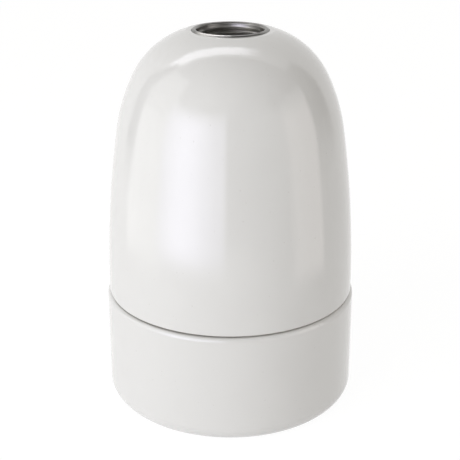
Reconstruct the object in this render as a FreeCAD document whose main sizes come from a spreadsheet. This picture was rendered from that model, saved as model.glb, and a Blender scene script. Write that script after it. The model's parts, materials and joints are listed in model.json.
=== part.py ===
import FreeCAD, Part
import math
import operator
import os

import Sketcher

# Porcelain lamp holder for an E27 lamp: a glazed dome with a threaded metal entry bush, a glazed
# ring that screws into it from below, and between them a porcelain block with the screw shell,
# the centre contact and two clamp terminals. It stands on the ring's foot, mouth down.
# Lengths are in millimetres. Z points up, and the origin is the centre of the foot's circle.

# Driving sizes: alias, value, meaning
SIZES = (
    ("body_radius", 24.0, "outer radius of the dome at the seam"),
    ("ring_ledge", 0.4, "how far the ring stands out past the dome's rim"),
    ("ring_draft", 0.15, "how much wider the ring's radius is at its foot"),
    ("ring_height", 21.75, "height of the ring's outer wall"),
    ("seam_gap", 0.3, "gap between the ring and the dome's rim"),
    ("foot_round", 2.8, "rounding of the ring's outer foot edge"),
    ("mouth_round", 1.4, "rounding of the ring's inner foot edge"),
    ("ring_shoulder_round", 0.9, "rounding of the ring's upper outer edge"),
    ("dome_rim_round", 0.3, "rounding of the dome's lower outer edge"),
    ("mouth_radius", 17.5, "radius of the ring's mouth"),
    ("mouth_depth", 5.0, "height of the mouth's straight wall"),
    ("mouth_cone", 3.5, "height of the cone from the mouth to the neck's bore"),
    ("neck_bore", 15.0, "radius of the bore through the ring's neck"),
    ("neck_height", 10.75, "height of the threaded neck above the ring's shoulder"),
    ("neck_thread_mean", 18.95, "mean radius of the neck's round thread"),
    ("neck_thread_swing", 0.55, "half the depth of the neck's thread"),
    ("neck_thread_pitch", 4.0, "pitch of the neck's thread"),
    ("neck_thread_gap", 0.4, "radial clearance between the neck's and the dome's threads"),
    ("neck_thread_runout", 1.6, "height over which the neck's thread fades at each end"),
    ("wall_arc_radius", 206.0, "radius of the dome's nearly straight side"),
    ("shoulder_rise", 32.25, "height of the side above the dome's rim"),
    ("shoulder_radius", 34.6, "radius of the dome's shoulder"),
    ("crown_rise", 42.3, "height of the shoulder's end above the dome's rim"),
    ("dome_height", 50.55, "height of the crown's flat land above the dome's rim"),
    ("land_radius", 8.2, "radius of the flat land round the bush"),
    ("dome_wall", 4.0, "thickness of the dome's shoulder and crown"),
    ("dome_top_wall", 6.8, "thickness of the dome under the land"),
    ("cavity_radius", 17.5, "radius of the dome's chamber above the block's flange"),
    ("key_width", 4.0, "width of the dome's two keys"),
    ("key_depth", 1.6, "depth of the keys in from the chamber's wall"),
    ("key_length", 9.5, "height of the keys"),
    ("key_gap", 0.4, "clearance between a key and its groove"),
    ("block_gap", 0.4, "radial clearance of the block in the dome"),
    ("flange_radius", 18.5, "radius of the block's flange"),
    ("flange_thickness", 4.0, "thickness of the block's flange"),
    ("cup_radius", 13.6, "inner radius of the block's wall"),
    ("floor_thickness", 5.5, "thickness of the block's floor"),
    ("cup_height", 14.0, "height of the block with its wall"),
    ("cup_round", 0.8, "rounding of the block's upper edges"),
    ("barrier_height", 16.5, "height of the barrier's top above the block's underside"),
    ("barrier_thickness", 2.4, "thickness of the barrier between the terminals"),
    ("live_offset", 7.0, "distance of the live terminal's axis from the centre"),
    ("neutral_offset", 8.6, "distance of the neutral terminal's axis from the centre"),
    ("rivet_circle", 9.4, "distance of the shell's rivets from the centre"),
    ("rivet_angle", 60.0, "angle in degrees from the live side to each rivet"),
    ("rivet_radius", 1.5, "radius of the rivets' shanks"),
    ("rivet_head_radius", 2.4, "radius of the rivets' heads"),
    ("rivet_head_height", 0.8, "height of the rivets' heads"),
    ("pass_gap", 0.1, "radial clearance of a shank in the block or the shell"),
    ("lamp_thread_mean", 12.76, "mean inner radius of the shell's lamp thread"),
    ("lamp_thread_swing", 0.56, "half the depth of the lamp thread"),
    ("lamp_thread_pitch", 3.629, "pitch of the lamp thread, seven turns to 25.4"),
    ("lamp_thread_runout", 2.0, "height over which the lamp thread fades at each end"),
    ("shell_wall", 0.4, "thickness of the shell's sheet"),
    ("shell_height", 23.5, "height of the shell"),
    ("shell_collar_radius", 13.7, "inner radius of the shell's plain collar"),
    ("shell_collar_height", 1.8, "height of the shell's collar with its slope"),
    ("shell_collar_slope", 0.38, "height of the slope from the collar in to the thread"),
    ("shell_crown_height", 2.6, "height of the plain wall below the shell's base"),
    ("opening_half_width", 5.0, "half the width of the opening in the shell's base"),
    ("opening_anchor_reach", 11.3, "reach of that opening towards the live side"),
    ("opening_tip_reach", 4.6, "reach of that opening past the centre"),
    ("strip_thickness", 0.5, "thickness of the centre contact's strip"),
    ("strip_width", 5.0, "width of the centre contact's strip"),
    ("strip_anchor_reach", 3.0, "length of the strip beyond its screw"),
    ("strip_bend_start", 3.1, "distance from the screw to the first bend"),
    ("strip_slope_run", 2.3, "length of the strip's sloping part, seen from below"),
    ("strip_drop", 2.2, "height of the strip's step"),
    ("strip_tip_reach", 2.4, "length of the strip past the centre"),
    ("strip_bend_round", 0.45, "inner radius of the strip's bends"),
    ("button_radius", 1.9, "radius of the contact button"),
    ("button_height", 0.9, "height of the contact button"),
    ("button_shank", 0.9, "radius of the button's shank"),
    ("button_clench_radius", 1.4, "radius of the button's clenched end"),
    ("button_clench_height", 0.35, "height of the button's clenched end"),
    ("button_gap", 0.04, "clearance between the button and the strip"),
    ("stud_width", 7.4, "width of a terminal's square body"),
    ("stud_height", 6.5, "height of a terminal's body"),
    ("stud_chamfer", 0.5, "chamfer along the body's upper edges"),
    ("plate_thickness", 1.0, "thickness of a clamp plate"),
    ("plate_lip", 0.8, "thickness of a clamp plate's two lips"),
    ("plate_lip_drop", 2.9, "reach of the lips below the plate"),
    ("plate_gap", 0.15, "clearance between the lips and the body"),
    ("clamp_shank", 1.75, "radius of a clamp screw's shank"),
    ("clamp_reach", 4.7, "length of a clamp screw below its head"),
    ("clamp_head_radius", 3.0, "radius of a clamp screw's head"),
    ("clamp_head_height", 2.2, "height of a clamp screw's head"),
    ("tap_gap", 0.06, "radial clearance of a screw in its tapped hole"),
    ("tap_depth", 4.0, "depth of a terminal's hole for the clamp screw"),
    ("fixing_shank", 1.5, "radius of a fixing screw's shank"),
    ("fixing_bite", 2.2, "length of a fixing screw inside the terminal"),
    ("fixing_head_radius", 2.5, "radius of a fixing screw's head"),
    ("fixing_head_height", 1.9, "height of a fixing screw's head"),
    ("slot_width", 0.8, "width of the slots in the screw heads"),
    ("slot_depth", 1.0, "depth of the slots in the screw heads"),
    ("entry_minor_radius", 5.96, "crest radius of the bush's M13 thread"),
    ("entry_mouth_radius", 6.25, "radius of the bush's opening inside its rolled lip"),
    ("entry_mouth_depth", 0.9, "depth of that opening, above the thread"),
    ("bush_neck_radius", 6.85, "outer radius of the bush's neck"),
    ("bush_neck_gap", 0.1, "radial clearance of the bush's neck in the dome"),
    ("bush_lip_radius", 7.15, "radius of the lip rolled over the dome's hole"),
    ("bush_lip_height", 0.6, "height of that lip"),
    ("bush_lip_stand", 0.3, "height of the lip above the land"),
    ("bush_lip_round", 0.37, "rounding of the lip's two edges"),
    ("bush_lip_gap", 0.05, "clearance between the lip and its recess in the dome"),
    ("bush_head_radius", 11.0, "radius of the bush's head inside the dome"),
    ("bush_head_height", 6.0, "height of the bush's head"),
    ("bush_chamfer", 0.6, "chamfer of the head's lower edges"),
    ("washer_thickness", 0.6, "thickness of the fibre washer above the bush's head"),
    ("washer_radius", 10.8, "outer radius of that washer"),
    ("washer_gap", 0.1, "radial clearance of the washer round the neck"),
    ("earth_offset", 8.75, "distance of the earth screw's axis from the centre"),
    ("earth_shank", 1.5, "radius of the earth screw's shank"),
    ("earth_depth", 4.6, "depth of the earth screw's hole"),
    ("earth_bite", 4.0, "length of the earth screw inside the bush"),
    ("earth_head_radius", 2.4, "radius of the earth screw's head"),
    ("earth_head_height", 2.0, "height of the earth screw's head"),
    ("earth_washer_radius", 2.7, "radius of the earth clamp washer"),
    ("earth_washer_thickness", 0.8, "thickness of the earth clamp washer"),
    ("lock_shank", 1.5, "radius of the locking screw"),
    ("lock_length", 4.2, "length of the locking screw"),
    ("lock_tip_radius", 6.62, "distance of the locking screw's tip from the centre"),
    ("lock_cone", 0.6, "height of the locking screw's pointed end"),
)
FULL_TURN = 360.0
THREAD_SECTIONS = 12
OVERRUN = 1.0
NEAR = 1e-3
# Shares of a screw's, a head's or a sheet's own size
SCREW_TIP = 0.25
HEAD_ROUND = 0.3
CORNER_SHARE = 0.8
DOME_SHARE = 0.85
# Which of its radii a thread closes up on at an end
TO_SMALL = -1
TO_LARGE = 1
HEAD_DOWN = FreeCAD.Rotation(FreeCAD.Vector(1, 0, 0), 180)
COMBINE = {
    "+": operator.add,
    "-": operator.sub,
    "*": operator.mul,
    "/": operator.truediv,
}


class Size:
    """A length worked out from the sheet: its value now, and the expression that binds it."""

    def __init__(self, value, text):
        self.value = float(value)
        self.text = text

    def joined(self, sign, other, swap=False):
        other = other if isinstance(other, Size) else Size(other, repr(float(other)))
        first, second = (other, self) if swap else (self, other)
        value = COMBINE[sign](first.value, second.value)
        return Size(value, f"({first.text} {sign} {second.text})")

    def __add__(self, other):
        return self.joined("+", other)

    def __radd__(self, other):
        return self.joined("+", other, swap=True)

    def __sub__(self, other):
        return self.joined("-", other)

    def __rsub__(self, other):
        return self.joined("-", other, swap=True)

    def __mul__(self, other):
        return self.joined("*", other)

    def __rmul__(self, other):
        return self.joined("*", other, swap=True)

    def __truediv__(self, other):
        return self.joined("/", other)

    def __neg__(self):
        return self.joined("*", -1.0)

    def root(self):
        return Size(math.sqrt(self.value), f"sqrt({self.text})")

    def times_cos(self, angle):
        value = self.value * math.cos(math.radians(angle.value))
        return Size(value, f"({self.text} * cos({angle.text} * 1deg))")

    def times_sin(self, angle):
        value = self.value * math.sin(math.radians(angle.value))
        return Size(value, f"({self.text} * sin({angle.text} * 1deg))")


class Sheet:
    """The spreadsheet of driving sizes. Each alias is read as an attribute, as a Size."""

    def __init__(self, document):
        self.cells = document.addObject("Spreadsheet::Sheet", "Sizes")
        for row, (alias, value, meaning) in enumerate(SIZES, start=1):
            self.cells.set(f"A{row}", meaning)
            self.cells.set(f"B{row}", str(value))
            self.cells.setAlias(f"B{row}", alias)
        document.recompute()

    def __getattr__(self, alias):
        return Size(getattr(self.cells, alias), f"Sizes.{alias}")


doc = FreeCAD.newDocument("lamp_holder")
s = Sheet(doc)
ZERO = Size(0.0, "0")

# Heights and radii that several pieces share
seam = s.ring_height
rim = s.ring_height + s.seam_gap
neck_top = s.ring_height + s.neck_height
block_floor = neck_top + s.floor_thickness
flange_top = neck_top + s.flange_thickness
land = rim + s.dome_height
bush_seat = land - s.dome_top_wall
bush_head_top = bush_seat - s.washer_thickness
bush_foot = bush_head_top - s.bush_head_height
lock_height = (bush_foot + bush_head_top) / 2
stud_top = block_floor + s.stud_height
shell_top = neck_top
shell_foot = neck_top - s.shell_height
shell_plate = neck_top - s.shell_wall
thread_bore = s.neck_thread_mean + s.neck_thread_gap
lip_hole = s.bush_neck_radius + s.bush_neck_gap
strip_underside = neck_top - s.strip_thickness
tip_top = neck_top - s.strip_drop
tip_underside = tip_top - s.strip_thickness


# Helpers for sketches and features
def new_body(name):
    body = doc.addObject("PartDesign::Body", name)
    body.Label = name
    return body


def sketch_on(body, name, plane, offset=ZERO):
    """An empty sketch on one of the body's own origin planes, moved along that plane's normal."""
    sketch = body.newObject("Sketcher::SketchObject", name)
    support = next(f for f in body.Origin.OriginFeatures if f.Role == plane)
    sketch.AttachmentSupport = (support, [""])
    sketch.MapMode = "FlatFace"
    sketch.AttachmentOffset = FreeCAD.Placement(
        FreeCAD.Vector(0, 0, offset.value), FreeCAD.Rotation()
    )
    sketch.setExpression("AttachmentOffset.Base.z", offset.text)
    return sketch


def bind(sketch, kind, *geometry, size):
    """Adds one driving constraint and ties it to the sheet."""
    index = sketch.addConstraint(Sketcher.Constraint(kind, *geometry, size.value))
    sketch.setExpression(f"Constraints[{index}]", size.text)


def pin_point(sketch, edge, end, x, y):
    """Ties a point of the sketch to its two coordinates."""
    bind(sketch, "DistanceX", -1, 1, edge, end, size=x)
    bind(sketch, "DistanceY", -1, 1, edge, end, size=y)


def draw_outline(sketch, corners):
    """Draws a closed outline of straight edges with every corner tied to the sheet."""
    points = [FreeCAD.Vector(x.value, y.value, 0) for x, y in corners]
    first = sketch.GeometryCount
    for start, end in zip(points, points[1:] + points[:1]):
        sketch.addGeometry(Part.LineSegment(start, end), False)
    for i, (x, y) in enumerate(corners):
        after = first + (i + 1) % len(corners)
        sketch.addConstraint(Sketcher.Constraint("Coincident", first + i, 2, after, 1))
        pin_point(sketch, first + i, 1, x, y)


def draw_circle(sketch, x, y, radius):
    """Draws a circle with its centre and radius tied to the sheet."""
    centre = FreeCAD.Vector(x.value, y.value, 0)
    normal = FreeCAD.Vector(0, 0, 1)
    edge = sketch.addGeometry(Part.Circle(centre, normal, radius.value), False)
    pin_point(sketch, edge, 3, x, y)
    bind(sketch, "Radius", edge, size=radius)


def draw_slot(sketch, x_from, x_to, half_width):
    """Draws an opening along X with round ends, centred on Y, tied to the sheet."""
    y = half_width.value
    left = x_from.value + y
    right = x_to.value - y
    up = FreeCAD.Vector(0, 0, 1)
    quarter = math.pi / 2
    ends = (
        Part.ArcOfCircle(
            Part.Circle(FreeCAD.Vector(left, 0, 0), up, y), quarter, 3 * quarter
        ),
        Part.ArcOfCircle(
            Part.Circle(FreeCAD.Vector(right, 0, 0), up, y), -quarter, quarter
        ),
    )
    sides = (
        Part.LineSegment(FreeCAD.Vector(left, -y, 0), FreeCAD.Vector(right, -y, 0)),
        Part.LineSegment(FreeCAD.Vector(right, y, 0), FreeCAD.Vector(left, y, 0)),
    )
    west = sketch.addGeometry(ends[0], False)
    south = sketch.addGeometry(sides[0], False)
    east = sketch.addGeometry(ends[1], False)
    north = sketch.addGeometry(sides[1], False)
    for one, two in ((west, south), (south, east), (east, north), (north, west)):
        sketch.addConstraint(Sketcher.Constraint("Tangent", one, 2, two, 1))
    pin_point(sketch, west, 3, x_from + half_width, ZERO)
    pin_point(sketch, east, 3, x_to - half_width, ZERO)
    bind(sketch, "Radius", west, size=half_width)


def set_size(feature, name, size):
    setattr(feature, name, size.value)
    feature.setExpression(name, size.text)


def pad(body, sketch, length, name, both_ways=False):
    """Adds material along the sketch's normal."""
    feature = body.newObject("PartDesign::Pad", name)
    feature.Profile = sketch
    set_size(feature, "Length", length)
    feature.Midplane = both_ways
    doc.recompute()
    return feature


def pocket(body, sketch, length, name, both_ways=False):
    """Cuts along the sketch's normal, and stops the build if nothing is cut."""
    before = body.Shape.Volume
    feature = body.newObject("PartDesign::Pocket", name)
    feature.Profile = sketch
    set_size(feature, "Length", length)
    feature.Midplane = both_ways
    feature.Reversed = not both_ways
    doc.recompute()
    if not body.Shape.Volume < before:
        raise RuntimeError(f"{body.Label}: {name} cut nothing")
    return feature


def turned(name, corners):
    """A body turned about its Z axis from the corners of its half-section, as radius and height."""
    body = new_body(name)
    sketch = sketch_on(body, f"{name}_section", "XZ_Plane")
    draw_outline(sketch, corners)
    spin(body, sketch, f"{name}_turning")
    return body


def spin(body, sketch, name):
    feature = body.newObject("PartDesign::Revolution", name)
    feature.Profile = sketch
    feature.ReferenceAxis = (sketch, ["V_Axis"])
    feature.Angle = FULL_TURN
    doc.recompute()
    return feature


def circle_edges(body, *rings):
    """Names of the body's full circular edges at each given radius and height."""
    names = []
    for radius, height in rings:
        for index, edge in enumerate(body.Shape.Edges, start=1):
            curve = edge.Curve
            if not isinstance(curve, Part.Circle):
                continue
            near_radius = abs(curve.Radius - radius.value) < NEAR
            if near_radius and abs(curve.Center.z - height.value) < NEAR:
                names.append(f"Edge{index}")
    return names


def straight_edges(body, keep):
    """Names of the body's straight edges for which keep says yes to their middle point."""
    names = []
    for index, edge in enumerate(body.Shape.Edges, start=1):
        if isinstance(edge.Curve, (Part.Line, Part.LineSegment)):
            middle = edge.valueAt((edge.FirstParameter + edge.LastParameter) / 2)
            if keep(middle, edge):
                names.append(f"Edge{index}")
    return names


def soften(body, kind, names, size, label):
    """Rounds or chamfers the named edges of the body's tip."""
    if not names:
        raise RuntimeError(f"{body.Label}: no edges for {label}")
    base = body.Tip
    feature = body.newObject(f"PartDesign::{kind}", label)
    feature.Base = (base, names)
    set_size(feature, "Radius" if kind == "Fillet" else "Size", size)
    doc.recompute()
    return feature


def place(body, x=ZERO, y=ZERO, z=ZERO, rotation=None):
    body.Placement = FreeCAD.Placement(
        FreeCAD.Vector(x.value, y.value, z.value), rotation or FreeCAD.Rotation()
    )
    for axis, size in (("x", x), ("y", y), ("z", z)):
        body.setExpression(f"Placement.Base.{axis}", size.text)


def combined(kind, name, base, tool):
    """A Part boolean of two objects of the document, kept as the named piece."""
    result = doc.addObject(f"Part::{kind}", name)
    result.Label = name
    result.Base = base
    result.Tool = tool
    doc.recompute()
    return result


def fixed_shape(name, shape):
    feature = doc.addObject("Part::Feature", name)
    feature.Shape = shape
    return feature


# Round threads
def smooth_share(distance, length):
    """From 0 to 1 along a smooth step while a distance grows from nothing to a length."""
    share = max(0.0, min(1.0, distance / length))
    return share * share * (3 - 2 * share)


def thread_form(mean, swing, runout, low, high, low_lean, high_lean):
    """Gives a thread's mean radius and half depth at a height.

    Over its run-out at either end the thread closes up on its small radius where the lean is -1,
    and on its large radius where it is 1.
    """

    def form_at(height):
        opened = smooth_share(height - low, runout)
        closing = smooth_share(high - height, runout)
        shift = low_lean * (1 - opened) + high_lean * (1 - closing)
        return mean + swing * shift, swing * opened * closing

    return form_at


def carried_circles(start, end, pitch, form_at):
    """A solid lofted through circles whose centres go round a small helix.

    A round thread is cut by any level plane in a circle off the axis, so a circle of the thread's
    mean radius, carried round a helix whose radius is half the thread's depth, sweeps its flank.
    """
    count = math.ceil((end - start) / pitch * THREAD_SECTIONS)
    wires = []
    for i in range(count + 1):
        height = start + (end - start) * i / count
        turn = 2 * math.pi * height / pitch
        radius, swing = form_at(height)
        centre = FreeCAD.Vector(
            swing * math.cos(turn), swing * math.sin(turn), height
        )
        circle = Part.Circle(centre, FreeCAD.Vector(0, 0, 1), radius)
        wires.append(Part.Wire([circle.toShape()]))
    return Part.makeLoft(wires, True, False)


# Pieces of the glazed porcelain
def make_skirt_ring():
    """The ring below the seam, with the threaded neck that goes up into the dome."""
    cone_top = s.mouth_depth + s.mouth_cone
    crest = s.neck_thread_mean + s.neck_thread_swing
    top_radius = s.body_radius + s.ring_ledge
    foot_radius = top_radius + s.ring_draft
    blank = turned(
        "ring_blank",
        (
            (s.mouth_radius, ZERO),
            (foot_radius, ZERO),
            (top_radius, seam),
            (crest, seam),
            (s.neck_bore, seam),
            (s.neck_bore, cone_top),
            (s.mouth_radius, s.mouth_depth),
        ),
    )
    soften(
        blank,
        "Fillet",
        circle_edges(blank, (foot_radius, ZERO)),
        s.foot_round,
        "foot_rounding",
    )
    soften(
        blank,
        "Fillet",
        circle_edges(blank, (s.mouth_radius, ZERO)),
        s.mouth_round,
        "mouth_rounding",
    )
    soften(
        blank,
        "Fillet",
        circle_edges(blank, (top_radius, seam)),
        s.ring_shoulder_round,
        "shoulder_rounding",
    )
    low, high = seam.value, neck_top.value
    form = thread_form(
        s.neck_thread_mean.value,
        s.neck_thread_swing.value,
        s.neck_thread_runout.value,
        low,
        high,
        TO_SMALL,
        TO_SMALL,
    )
    core = carried_circles(low - OVERRUN, high, s.neck_thread_pitch.value, form)
    bore = Part.makeCylinder(
        s.neck_bore.value,
        high - low + 3 * OVERRUN,
        FreeCAD.Vector(0, 0, low - 2 * OVERRUN),
    )
    neck = fixed_shape("ring_neck", core.cut(bore))
    return combined("Fuse", "skirt_ring", blank, neck)


def make_dome_cover():
    """The bullet-shaped cover, hollow from below, with the entry hole in its crown."""
    body = new_body("dome_blank")
    sketch = sketch_on(body, "dome_section", "XZ_Plane")
    draw_dome_section(sketch)
    spin(body, sketch, "dome_turning")
    soften(
        body,
        "Fillet",
        circle_edges(body, (s.body_radius, rim)),
        s.dome_rim_round,
        "rim_rounding",
    )
    keys = sketch_on(body, "key_outlines", "XY_Plane", flange_top)
    half = s.key_width / 2
    inner = s.cavity_radius - s.key_depth
    outer = s.cavity_radius + s.key_depth
    draw_outline(keys, ((-half, inner), (half, inner), (half, outer), (-half, outer)))
    draw_outline(
        keys, ((-half, -outer), (half, -outer), (half, -inner), (-half, -inner))
    )
    pad(body, keys, s.key_length, "keys")
    start, high = rim.value - OVERRUN, neck_top.value
    form = thread_form(
        thread_bore.value,
        s.neck_thread_swing.value,
        s.neck_thread_runout.value,
        start - s.neck_thread_runout.value,
        high,
        TO_SMALL,
        TO_SMALL,
    )
    plug = carried_circles(start, high, s.neck_thread_pitch.value, form)
    return combined("Cut", "dome_cover", body, fixed_shape("dome_thread", plug))


def draw_dome_section(sketch):
    """The dome's half-section: three tangent arcs outside, and the hollow inside them."""
    bored = thread_bore - s.neck_thread_swing - 0.3
    block_seat = s.flange_radius + s.block_gap
    recess = s.bush_lip_radius + s.bush_lip_gap
    recess_floor = land + s.bush_lip_stand - s.bush_lip_height - s.bush_lip_gap
    section = dome_arcs()
    side, shoulder, crown = (sketch.addGeometry(arc, False) for arc in section["outer"])
    in_shoulder, in_crown = (sketch.addGeometry(arc, False) for arc in section["inner"])

    # Outside: the side starts upright at the rim, and each arc leaves the last one tangentially
    pin_point(sketch, side, 1, s.body_radius, rim)
    bind(sketch, "DistanceY", -1, 1, side, 3, size=rim)
    bind(sketch, "Radius", side, size=s.wall_arc_radius)
    bind(sketch, "DistanceY", -1, 1, side, 2, size=rim + s.shoulder_rise)
    sketch.addConstraint(Sketcher.Constraint("Tangent", side, 2, shoulder, 1))
    bind(sketch, "Radius", shoulder, size=s.shoulder_radius)
    bind(sketch, "DistanceY", -1, 1, shoulder, 2, size=rim + s.crown_rise)
    sketch.addConstraint(Sketcher.Constraint("Tangent", shoulder, 2, crown, 1))
    pin_point(sketch, crown, 2, s.land_radius, land)

    # Inside: the same shoulder and crown, one wall thickness in
    sketch.addConstraint(Sketcher.Constraint("Coincident", in_shoulder, 3, shoulder, 3))
    bind(sketch, "Radius", in_shoulder, size=s.shoulder_radius - s.dome_wall)
    bind(sketch, "DistanceX", -1, 1, in_shoulder, 1, size=s.cavity_radius)
    sketch.addConstraint(Sketcher.Constraint("Coincident", in_crown, 3, crown, 3))
    sketch.addConstraint(Sketcher.Constraint("Tangent", in_shoulder, 2, in_crown, 1))
    bind(sketch, "DistanceY", -1, 1, in_crown, 2, size=bush_seat)

    # Straight runs that close the section: over the land and down the hole, then up the hollow
    over_hole = (
        (recess, land),
        (recess, recess_floor),
        (lip_hole, recess_floor),
        (lip_hole, bush_seat),
    )
    up_hollow = (
        (bored, rim),
        (bored, neck_top),
        (block_seat, neck_top),
        (block_seat, flange_top),
        (s.cavity_radius, flange_top),
    )
    join_run(sketch, crown, over_hole, in_crown, into=2)
    close_run(sketch, side, up_hollow, in_shoulder)


def dome_arcs():
    """The section's arcs near their solved places, from the sizes alone."""
    up = FreeCAD.Vector(0, 0, 1)
    centre = FreeCAD.Vector(s.body_radius.value - s.wall_arc_radius.value, rim.value, 0)
    turn_one = math.asin(s.shoulder_rise.value / s.wall_arc_radius.value)
    side = Part.ArcOfCircle(
        Part.Circle(centre, up, s.wall_arc_radius.value), 0.0, turn_one
    )
    inward = FreeCAD.Vector(-math.cos(turn_one), -math.sin(turn_one), 0)
    centre = side.EndPoint + inward * s.shoulder_radius.value
    level = rim.value + s.crown_rise.value
    turn_two = math.asin((level - centre.y) / s.shoulder_radius.value)
    shoulder = Part.ArcOfCircle(
        Part.Circle(centre, up, s.shoulder_radius.value), turn_one, turn_two
    )
    inner_radius = s.shoulder_radius.value - s.dome_wall.value
    start = math.acos((s.cavity_radius.value - centre.x) / inner_radius)
    in_shoulder = Part.ArcOfCircle(
        Part.Circle(centre, up, inner_radius), start, turn_two
    )
    inward = FreeCAD.Vector(-math.cos(turn_two), -math.sin(turn_two), 0)
    chord = FreeCAD.Vector(s.land_radius.value, land.value, 0) - shoulder.EndPoint
    radius = chord.Length ** 2 / (2 * chord.dot(inward))
    centre = shoulder.EndPoint + inward * radius
    turn_three = math.atan2(land.value - centre.y, s.land_radius.value - centre.x)
    crown = Part.ArcOfCircle(Part.Circle(centre, up, radius), turn_two, turn_three)
    inner_radius = radius - s.dome_wall.value
    end = math.asin((bush_seat.value - centre.y) / inner_radius)
    in_crown = Part.ArcOfCircle(Part.Circle(centre, up, inner_radius), turn_two, end)
    return {"outer": (side, shoulder, crown), "inner": (in_shoulder, in_crown)}


def join_run(sketch, first, corners, last, into):
    """Straight edges from the end of one edge through the corners to a point of another."""
    points = [sketch.getPoint(first, 2)]
    points += [FreeCAD.Vector(x.value, y.value, 0) for x, y in corners]
    points.append(sketch.getPoint(last, into))
    before = (first, 2)
    for i, (start, end) in enumerate(zip(points, points[1:])):
        edge = sketch.addGeometry(Part.LineSegment(start, end), False)
        sketch.addConstraint(Sketcher.Constraint("Coincident", *before, edge, 1))
        if i < len(corners):
            pin_point(sketch, edge, 2, *corners[i])
        before = (edge, 2)
    sketch.addConstraint(Sketcher.Constraint("Coincident", *before, last, into))


def close_run(sketch, first, corners, last):
    """Straight edges from the start of one edge through the corners to the start of another."""
    points = [sketch.getPoint(first, 1)]
    points += [FreeCAD.Vector(x.value, y.value, 0) for x, y in corners]
    points.append(sketch.getPoint(last, 1))
    before = (first, 1)
    for i, (start, end) in enumerate(zip(points, points[1:])):
        edge = sketch.addGeometry(Part.LineSegment(start, end), False)
        sketch.addConstraint(Sketcher.Constraint("Coincident", *before, edge, 1))
        if i < len(corners):
            pin_point(sketch, edge, 2, *corners[i])
        before = (edge, 2)
    sketch.addConstraint(Sketcher.Constraint("Coincident", *before, last, 1))


# Pieces of the metal entry
def make_entry_bush():
    """The threaded bush: its neck passes up the dome's hole, and its head bears on the inside."""
    top = land + s.bush_lip_stand
    mouth_foot = top - s.entry_mouth_depth
    body = turned(
        "entry_bush",
        (
            (s.entry_minor_radius, bush_foot),
            (s.bush_head_radius, bush_foot),
            (s.bush_head_radius, bush_head_top),
            (s.bush_neck_radius, bush_head_top),
            (s.bush_neck_radius, top - s.bush_lip_height),
            (s.bush_lip_radius, top - s.bush_lip_height),
            (s.bush_lip_radius, top),
            (s.entry_mouth_radius, top),
            (s.entry_mouth_radius, mouth_foot),
            (s.entry_minor_radius, mouth_foot),
        ),
    )
    lip = circle_edges(body, (s.bush_lip_radius, top), (s.entry_mouth_radius, top))
    soften(body, "Fillet", lip, s.bush_lip_round, "lip_rounding")
    head = circle_edges(body, (s.bush_head_radius, bush_foot))
    soften(body, "Chamfer", head, s.bush_chamfer, "head_chamfer")
    earth = sketch_on(body, "earth_hole", "XY_Plane", bush_foot)
    draw_circle(earth, s.earth_offset, ZERO, s.earth_shank + s.tap_gap)
    pocket(body, earth, s.earth_depth, "earth_drilling")
    outside = -(s.bush_head_radius + OVERRUN)
    lock = sketch_on(body, "lock_hole", "YZ_Plane", outside)
    draw_circle(lock, ZERO, lock_height, s.lock_shank + s.tap_gap)
    reach = s.bush_head_radius - s.entry_minor_radius + 2 * OVERRUN
    pocket(body, lock, reach, "lock_drilling")
    return body


def make_bush_washer():
    """The fibre washer between the bush's head and the porcelain."""
    inner = s.bush_neck_radius + s.washer_gap
    return turned(
        "bush_washer",
        (
            (inner, bush_head_top),
            (s.washer_radius, bush_head_top),
            (s.washer_radius, bush_seat),
            (inner, bush_seat),
        ),
    )


def make_locking_screw():
    """The headless screw that bears on the tube screwed into the bush. It lies along X."""
    slot_floor = s.lock_length - s.slot_depth
    body = turned(
        "locking_screw",
        (
            (ZERO, ZERO),
            (s.lock_shank - s.lock_cone, ZERO),
            (s.lock_shank, s.lock_cone),
            (s.lock_shank, s.lock_length),
            (ZERO, s.lock_length),
        ),
    )
    cut_slot(body, s.lock_shank, slot_floor)
    towards_minus_x = FreeCAD.Rotation(FreeCAD.Vector(0, 1, 0), -90)
    place(body, x=-s.lock_tip_radius, z=lock_height, rotation=towards_minus_x)
    return body


def cut_slot(body, reach, floor_height):
    """A driver's slot across the end of a screw that stands along Z."""
    sketch = sketch_on(body, "slot_outline", "XY_Plane", floor_height)
    long_half = reach + OVERRUN
    wide_half = s.slot_width / 2
    draw_outline(
        sketch,
        (
            (-long_half, -wide_half),
            (long_half, -wide_half),
            (long_half, wide_half),
            (-long_half, wide_half),
        ),
    )
    pocket(body, sketch, s.slot_depth + OVERRUN, "slot")


def make_screw(name, shank, length, head, height):
    """A slotted cheese-head screw, its shank down and the head's underside at Z = 0."""
    tip = shank * SCREW_TIP
    body = turned(
        name,
        (
            (ZERO, -length),
            (shank - tip, -length),
            (shank, tip - length),
            (shank, ZERO),
            (head, ZERO),
            (head, height),
            (ZERO, height),
        ),
    )
    soften(
        body,
        "Fillet",
        circle_edges(body, (head, height)),
        height * HEAD_ROUND,
        "head_rounding",
    )
    cut_slot(body, head, height - s.slot_depth)
    return body


def make_earth_clamp():
    """The earth screw and its washer, in the foot of the bush's head."""
    washer = turned(
        "earth_clamp_washer",
        (
            (s.earth_shank + s.pass_gap, bush_foot - s.earth_washer_thickness),
            (s.earth_washer_radius, bush_foot - s.earth_washer_thickness),
            (s.earth_washer_radius, bush_foot),
            (s.earth_shank + s.pass_gap, bush_foot),
        ),
    )
    place(washer, x=s.earth_offset)
    screw = make_screw(
        "earth_clamp_screw",
        s.earth_shank,
        s.earth_bite + s.earth_washer_thickness,
        s.earth_head_radius,
        s.earth_head_height,
    )
    under = bush_foot - s.earth_washer_thickness
    place(screw, x=s.earth_offset, z=under, rotation=HEAD_DOWN)
    return washer, screw


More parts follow.
